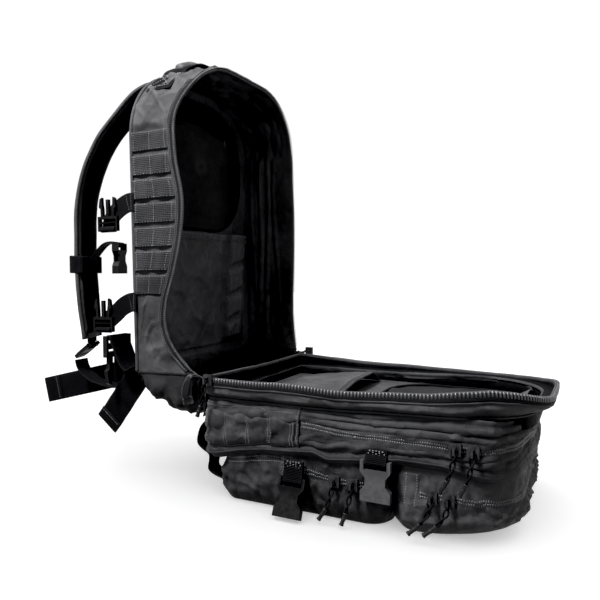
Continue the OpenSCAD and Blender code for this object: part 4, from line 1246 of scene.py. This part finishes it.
def front_loop(side, where, x, z, tab):
    """The folded webbing, sewn up a tab, that holds a compression buckle's female half."""
    wall, bar = SECOND_W / 2 + 1.6, SECOND_W / 2 + 5.1
    arc = bar_turn((bar, z), 10, -200)
    line = even(spline(np.vstack([[[wall + 1.9, z + tab], [wall + 2.4, z + tab - 5], [bar + 0.9, z + 6.2]],
                                  arc[2:-3], [[wall + 0.6, z + 6], [wall + 0.1, z + tab]]]), 3), 1.6)
    POCKET.web(f"buckle_loop_{SIDE[side]}_{where}", points(x, side * line[:, 0], line[:, 1]), ALONG, THIN_T,
               *only((side, where) == (NEAR, "upper"), "front_buckle_loops"))

    def point(a, b):
        p = points(x + a * 9, side * (wall + 2.9), z + tab - 4 + b * 3.2)
        return p, np.broadcast_to((0, side, 0), p.shape)

    POCKET.box_stitch(point)


for side in (NEAR, FAR):
    front_loop(side, "upper", 234, 76, 14)
    front_loop(side, "lower", 134, 42, 22)


# ---------------------------------------------------------------- webbing on the harness half

def compression_strap(side, where, x, depth, drop):
    """A short strap from the back panel's seam, folded down to a buckle's male half."""
    name = f"compression_strap_{SIDE[side]}_{where}"
    line = spline([[x + 1, 90], [x + 0.5, 100], [x - 5, 113], [x - 13, 124], [x - drop + 8, depth - 1],
                   [x - drop + 3, depth]], 6)
    path, t = upright(line, side * (PACK_W / 2 + 2.4)), along(line)
    across = points(-t[:, 1], 0, t[:, 0])
    HARNESS.web(name, path, across, WEB_T, *only((side, where) == (NEAR, "upper"), "compression_straps"),
                wave=0.5, seed=x)
    turn = bar_turn((x - drop, side * (PACK_W / 2 + 4.5)), side * -70, side * 240, 18)
    HARNESS.web(name + "_loop", points(*turn.T, depth), UP, THIN_T)
    for k in (0.12, 0.2):
        i = int(k * len(path))
        line = path[i] + np.linspace(-10, 10, 8)[:, None] * across[i] + (0, side * 0.9, 0)
        HARNESS.sew(line, (0, side, 0), pitch=3.2)


def lower_strap(side):
    """Limp webbing from a ladder lock to the pack's lower corner."""
    line = even(spline([[-243, 152], [-238, 138], [-210, 122], [-170, 117], [-132, 128], [-101, 150]], 6), 3)
    strap = Part(None, FRONT).web(f"lower_strap_{SIDE[side]}", upright(line, side * 94.0), ACROSS, WEB_T,
                                  *only(side == NEAR, "lower_strap_webbing"), wave=0.8, seed=side)
    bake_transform(strap)


for side in (NEAR, FAR):
    compression_strap(side, "upper", 222, 132, 32)
    compression_strap(side, "lower", 93, 145, 36)
for side in (NEAR, FAR):
    lower_strap(side)


# ---------------------------------------------------------------- shoulder straps

STRAP_LINE = even(spline([[-122, 522], [-122.5, 535], [-129, 543], [-142, 540], [-158, 530], [-182, 504],
                          [-209, 471], [-228, 433], [-239, 396], [-243, 366], [-243.5, 340], [-244, 312],
                          [-243, 275], [-240, 230], [-236, 184]]), 4.0)
STRAP_S = lengths(STRAP_LINE)
STRAP_TAN = along(STRAP_LINE)
STRAP_OUT = np.stack([STRAP_TAN[:, 1], -STRAP_TAN[:, 0]], 1)
LOCK_BAR = (-236, 173)


def strap_line(lift, y=0.0, keep=slice(None)):
    """A line beside the strap's middle line, lifted off it and shifted by y across it."""
    return upright(STRAP_LINE + STRAP_OUT * lift, y)[keep]


def strap_padding(part, side):
    """The padded strap, cloth outside and spacer mesh inside, with its bound edges."""
    s, total, n_a = STRAP_S, STRAP_S[-1], 15
    half_w = STRAP_W / 2 * (1 - 0.10 * smooth(s, total - 60, total) - 0.04 * (1 - smooth(s, 0, 40)))
    half_w = half_w + 0.8 * ripple(s, s, 3.3 + side, 40, 40, 1)
    a = np.linspace(-1, 1, n_a)
    crown = (1 - np.abs(a) ** 3.2) ** 0.55
    ends = np.minimum(1, 0.35 + 0.65 * np.minimum(smooth(s, 0, 14), smooth(total - s, 0, 18)))[:, None]
    puff = 0.8 * crown * ripple(s[:, None], a * 30, 5.1 + side, 34, 26)
    groove = 1.8 * hump(np.abs(a), 0.52, 0.07) * ends
    depth = STRAP_T / 2 * crown * ends
    up, down = np.maximum(depth + puff - groove, 0.6), np.maximum(depth + 0.5 * puff, 0.6)

    def grid(d):
        flat = STRAP_LINE[:, None] + STRAP_OUT[:, None] * d[..., None]
        return points(flat[..., 0], half_w[:, None] * a, flat[..., 1])

    section = np.concatenate([grid(up), grid(-down)[:, ::-1]], 1)
    v = np.concatenate([np.linspace(0, STRAP_W, n_a), np.linspace(0, STRAP_W, n_a) + STRAP_W + 2,
                        [2 * STRAP_W + 4]])
    padding = part.loft(f"strap_pad_{SIDE[side]}", section, points(s[:, None], v), False, CLOTH, "pack_cloth",
                        part.body)
    mesh = Surface(grid(-down - 0.5)[2:-2, 1:-1][:, ::-1], s[2:-2], np.linspace(0, STRAP_W, n_a - 2))
    part.skin(f"strap_mesh_{SIDE[side]}", mesh, 0.6, SPACER, "mesh")
    for edge, mark in ((-1, "a"), (1, "b")):
        part.tube(f"strap_binding_{SIDE[side]}_{mark}", strap_line(0, edge * (half_w + 0.2)), 2.7, BINDING,
                  "webbing")


def strap_webbing(part, side):
    """Webbing down the strap's middle, sewn at its edges and in bars."""
    keep = slice(6, -2)
    top = STRAP_T / 2 + 0.6
    n = upright(STRAP_OUT, 0)[keep]
    path = strap_line(top, 0, keep)
    part.web(f"strap_webbing_{SIDE[side]}", path, ACROSS, THIN_T, wave=0.4, seed=4 + side)
    for lift, y in ((top + 0.9, -10.6), (top + 0.9, 10.6), (5.2, -15.6), (5.2, 15.6)):
        part.sew(strap_line(lift, y, keep), n, pitch=4.2)
    for i in np.linspace(12, len(path) - 12, 7).astype(int):
        bar = path[i] + n[i] * 0.9 + points(0, np.linspace(-10, 10, 8), 0)
        part.sew(bar, n[i], pitch=2.4, size=0.5)


def strap_end(part, side):
    """The strap's loop round the ladder lock, and its two tabs."""
    part.web(f"strap_lock_loop_{SIDE[side]}", upright(bar_turn(LOCK_BAR, -250, 70, 20), 0), ACROSS, THIN_T)
    tail = spline([[-236.4, 177], [-236.8, 186], [-238.5, 204], [-240.5, 222]], 6)
    for k, (dx, end) in enumerate(((-1.0, None), (1.0, 10))):
        part.web(f"strap_lock_tab_{SIDE[side]}_{k + 1}", upright(tail + (dx, 0), 0)[:end], ACROSS, 1.3)


for side in (NEAR, FAR):
    strap = Part(f"shoulder_strap_{SIDE[side]}", strap_frame(side))
    strap_padding(strap, side)
    strap_webbing(strap, side)
    strap_end(strap, side)

# The cloth yoke that each strap's top end is sewn into, on the back panel
ROOT_LINE = spline([[-103, 480], [-106, 498], [-112, 514], [-119, 524], [-122, 530]], 6)
for side in (NEAR, FAR):
    Part(HARNESS.body, strap_frame(side)).strip(
        f"strap_root_{SIDE[side]}", upright(ROOT_LINE, 0), ACROSS, 66, 6, CLOTH, "pack_cloth", crown=2.0,
        wave=1.0, seed=2 + side)


# ---------------------------------------------------------------- sternum strap and waist belt

def to_bar(knots, bar, start, stop, step):
    """A line through the knots and then round a buckle's bar."""
    return even(np.vstack([spline(knots, 5)[:-1], bar_turn(bar, start, stop)]), step)


def sternum(side, knots, bar, z=292, lean=math.radians(1.5)):
    """A sternum strap, and the band of webbing that holds it on the shoulder strap."""
    part = Part(f"sternum_webbing_{SIDE[side]}", strap_frame(side))
    x, y = ring_points(STRAP_T + 7, STRAP_W + 6, 6, 60).T
    ring = points(x - 243.6, y, z - x * math.sin(lean))
    part.web(f"strap_keeper_{SIDE[side]}", np.vstack([ring, ring[:2]]), UP, WEB_T, part.body)
    part.web(f"sternum_strap_{SIDE[side]}", upright(to_bar(knots, bar, 90, -190, 2.0), 0), ACROSS, 1.5)


sternum(NEAR, [[-234, 296], [-226, 308], [-214, 321], [-203, 325], [-192, 324.3]], (-192, 321))
sternum(FAR, [[-234, 294], [-226, 300], [-214, 301], [-207, 298], [-200, 293.3]], (-200, 290))

BELT_NEAR, BELT_FAR = Part("waist_belt_near", FRONT), Part("waist_belt_far", FRONT)


def belt(part, knots, y, bar, stop):
    """A belt half's strap to its buckle."""
    path = upright(to_bar(knots, bar, 0, stop, 2.5), y)
    part.web(part.body + "_strap", path, ACROSS, WEB_T, part.body, wave=0.6, seed=y, w=BELT_W)


belt(BELT_NEAR, [[-99, 157], [-108, 152], [-117, 157], [-124, 169], [-130, 182], [-134.7, 194]], -131,
     (-138, 194), 290)
belt(BELT_FAR, [[-99, 157], [-110, 157], [-120, 150], [-124.7, 138]], 50, (-128, 138), -290)


def near_tail():
    """The near belt's free end with its doubled, stitched tip."""
    start, end = np.array([-103.0, 144.0]), np.array([-156.0, 74.0])
    k = np.linspace(0, 1, 30)
    dx, dz = (end - start) / np.linalg.norm(end - start)
    width = np.array([-dz, 0, dx])
    path = upright(start + (end - start) * k[:, None], -130.2 - 2.5 * k ** 2)
    BELT_NEAR.web("waist_belt_near_tail", path, width, WEB_T, wave=1.0, w=BELT_W)
    BELT_NEAR.web("waist_belt_near_tip", path[-6:] - (0, 1.6, 0), width, THIN_T, w=BELT_W)
    for i in (-1, -5):
        line = path[i] + np.linspace(-16, 16, 10)[:, None] * width - (0, 2.6, 0)
        BELT_NEAR.sew(line, (0, -1, 0), pitch=3.2)


def far_tail(droop=math.radians(14)):
    """The far belt's free end, which stands on its edge and reaches far out."""
    route = even(spline([[-100, 60], [-102, 40], [-107, 22], [-127, 4], [-190, -34], [-240, -68],
                         [-319, -90]], 6), 4)
    path = points(*route.T, 152 + (route[:, 0] + 103) * math.tan(droop))
    up = np.array([-math.sin(droop), 0, math.cos(droop)])
    n = unit(np.cross(along(path), up))
    BELT_FAR.web("waist_belt_far_tail", path, up, WEB_T, wave=1.2, w=BELT_W)
    for mark, sign in (("a", 1), ("b", -1)):
        BELT_FAR.web(f"waist_belt_far_tip_{mark}", path[-7:] + n[-7:] * sign * 1.55, up, 1.2, w=BELT_W)
        for i in (-1, -6):
            line = path[i] + np.linspace(-16, 16, 10)[:, None] * up + n[i] * sign * 2.4
            BELT_FAR.sew(line, n[i] * sign, pitch=3.2)


near_tail()
far_tail()


# ---------------------------------------------------------------- buckles, sliders and pulls

def dress(node, material, bevel, segments=3):
    """Rounds the edges of a CAD node and gives it its material."""
    obj = frame["nodes"][node]
    obj.data.materials.clear()
    obj.data.materials.append(material)
    edge = obj.modifiers.new("edge", "BEVEL")
    edge.width, edge.segments, edge.limit_method = bevel * MM, segments, "ANGLE"
    edge.angle_limit = math.radians(35)
    edge.use_clamp_overlap = True
    obj.data.polygons.foreach_set("use_smooth", [True] * len(obj.data.polygons))
    obj.modifiers.new("normals", "WEIGHTED_NORMAL").keep_sharp = True


for node in frame["nodes"]:
    if node.startswith(("compression_female", "compression_male", "ladder_lock")) or (
            "buckle" in node and "loops" not in node):
        # One buckle gets the lighter buckle plastic: painted light.
        dress(node, LIT_SATIN if node == "compression_female_near_upper" else PLASTIC, 0.8)
    elif "_slider_" in node:
        dress(node, SLIDER, 0.7)
    elif node == "frame_sheet":
        dress(node, SHEET, 0.3, 1)

CORD_R, GRIP_R, RING_R, GRIP_START = 1.15, 2.3, 2.75, 32


def pull(zip_name, where, length, lean, out):
    """A zip pull: a twisted loop of cord through the slider's bail, its ends in a moulded grip. It
    hangs over its length, leaning and standing out from the pack."""
    node = f"{zip_name}_pull_{where}"
    part = Part(node, Matrix.Scale(MM, 4))
    pivot = np.array(Vector(JOINTS[f"{zip_name}_{where}_pull_swing"]["pos_m"]) / MM)
    side = NEAR if pivot[1] < 0 else FAR
    k = np.linspace(0, 1, 46)[:, None]
    drop = math.sqrt(length ** 2 - lean ** 2 - out ** 2)
    line = pivot + k * (0, 0, -drop) + k ** 1.7 * (lean, side * out, 0)
    line = line + np.sin(math.pi * k) * (-0.12 * lean, side * 2.0, 0)
    t = along(line)
    a = unit(np.cross(t, ACROSS))
    angle = k * 2 * math.pi * 1.6 + lean
    twist = (2.4 - 1.2 * smooth(k, 0.25, 0.7)) * (a * np.cos(angle) + np.cross(t, a) * np.sin(angle) * 0.5)
    strand = slice(None, GRIP_START + 2)
    bail = pivot + (0, side * 0.4, 0) + [[2.0, 0, 2.0], [0, 0, 3.0], [-2.0, 0, 2.0]]
    loop = np.concatenate([(line + twist)[strand][::-1], bail, (line - twist)[strand]])
    part.tube(node + "_cord", even(spline(loop, 2), 1.6), CORD_R, WEBBING, "webbing", node)
    grip, t = line[GRIP_START:], t[GRIP_START:]
    part.tube(node + "_grip", grip, GRIP_R, PULLER, "webbing", sides=10)
    for i in (0, 6, len(grip) - 1):
        ring = grip[i] + t[i] * np.linspace(-0.7, 0.7, 3)[:, None]
        part.tube(f"{node}_ring_{i}", ring, RING_R, PULLER, "webbing", sides=10)


for pull_facts in (("main", "near", 44, -9, 3), ("main", "far", 44, -6, 3), ("second", "rear", 45, -13, 3),
                   ("second", "front", 45, -11, 4), ("lower", "rear", 42, -12, 9),
                   ("lower", "front", 42, -7, 9), ("upper", "rear", 42, -20, 9),
                   ("upper", "front", 42, -22, 9)):
    pull(*pull_facts)


# ---------------------------------------------------------------- stage

# Each lamp's name, place, size and power, and the point that all of them face
LAMPS = (("key", (-0.36, -0.72, 1.18), 0.26, 98), ("fill", (1.6, -1.4, 1.1), 1.8, 9),
         ("rim", (0.2, 0.7, 1.9), 1.0, 22))
AIM = Vector((0, 0, 0.25))


def add(name, data):
    """A new object in the scene."""
    obj = bpy.data.objects.new(name, data)
    bpy.context.scene.collection.objects.link(obj)
    return obj


def camera():
    """The photo's view, from the near side and a little above the floor."""
    cam = add("camera", bpy.data.cameras.new("camera"))
    cam.location = (0.234, -0.751, 0.284)
    cam.rotation_euler = (math.radians(87.15), 0, math.radians(25.93))
    cam.data.lens, cam.data.sensor_width = 36, 36
    bpy.context.scene.camera = cam


def white_floor(a=6.0):
    """A floor that glows a little, so that it stays white."""
    mesh = bpy.data.meshes.new("floor")
    mesh.from_pydata([(-a, -a, 0), (a, -a, 0), (a, a, 0), (-a, a, 0)], [], [(0, 1, 2, 3)])
    nodes = Nodes("floor_paint")
    paint = nodes.tint((0.95, 0.95, 0.95), nodes.ramp(nodes.noise(nodes.here(), 3), 0.3, 0.7, 0.985, 1.015))
    mesh.materials.append(nodes.finish(Base_Color=paint, Roughness=0.8, Specular_IOR_Level=0.2,
                                       Emission_Color=(1, 1, 1, 1), Emission_Strength=0.36))
    floor = add("floor", mesh)
    return floor


def lights(floor):
    """A white world, and three lamps that light everything but the floor."""
    scene = bpy.context.scene
    scene.world = bpy.data.worlds.new("studio")
    scene.world.use_nodes = True
    white = scene.world.node_tree.nodes["Background"]
    white.inputs[0].default_value, white.inputs[1].default_value = (1, 1, 1, 1), 1.01
    lit = bpy.data.collections.new("all_but_the_floor")
    lit.objects.link(floor)
    lit.collection_objects[0].light_linking.link_state = "EXCLUDE"
    for name, place, size, power in LAMPS:
        data = bpy.data.lights.new(name, "AREA")
        data.size, data.energy = size, power
        lamp = add(name, data)
        lamp.light_linking.receiver_collection = lit
        lamp.location = place
        lamp.rotation_euler = (AIM - lamp.location).to_track_quat("-Z", "Y").to_euler()


def film():
    """The picture's blacks are clipped a little, as in the photo."""
    view = bpy.context.scene.view_settings
    view.view_transform = "Standard"
    view.use_curve_mapping = True
    view.curve_mapping.black_level = (0.0065, 0.0065, 0.0065)


camera()
lights(white_floor())
film()
for body, bits in THREADS.items():
    Part(body, FRONT).put(f"stitching_{body}", np.concatenate(bits.verts), bits.faces, None, THREAD,
                          "webbing")
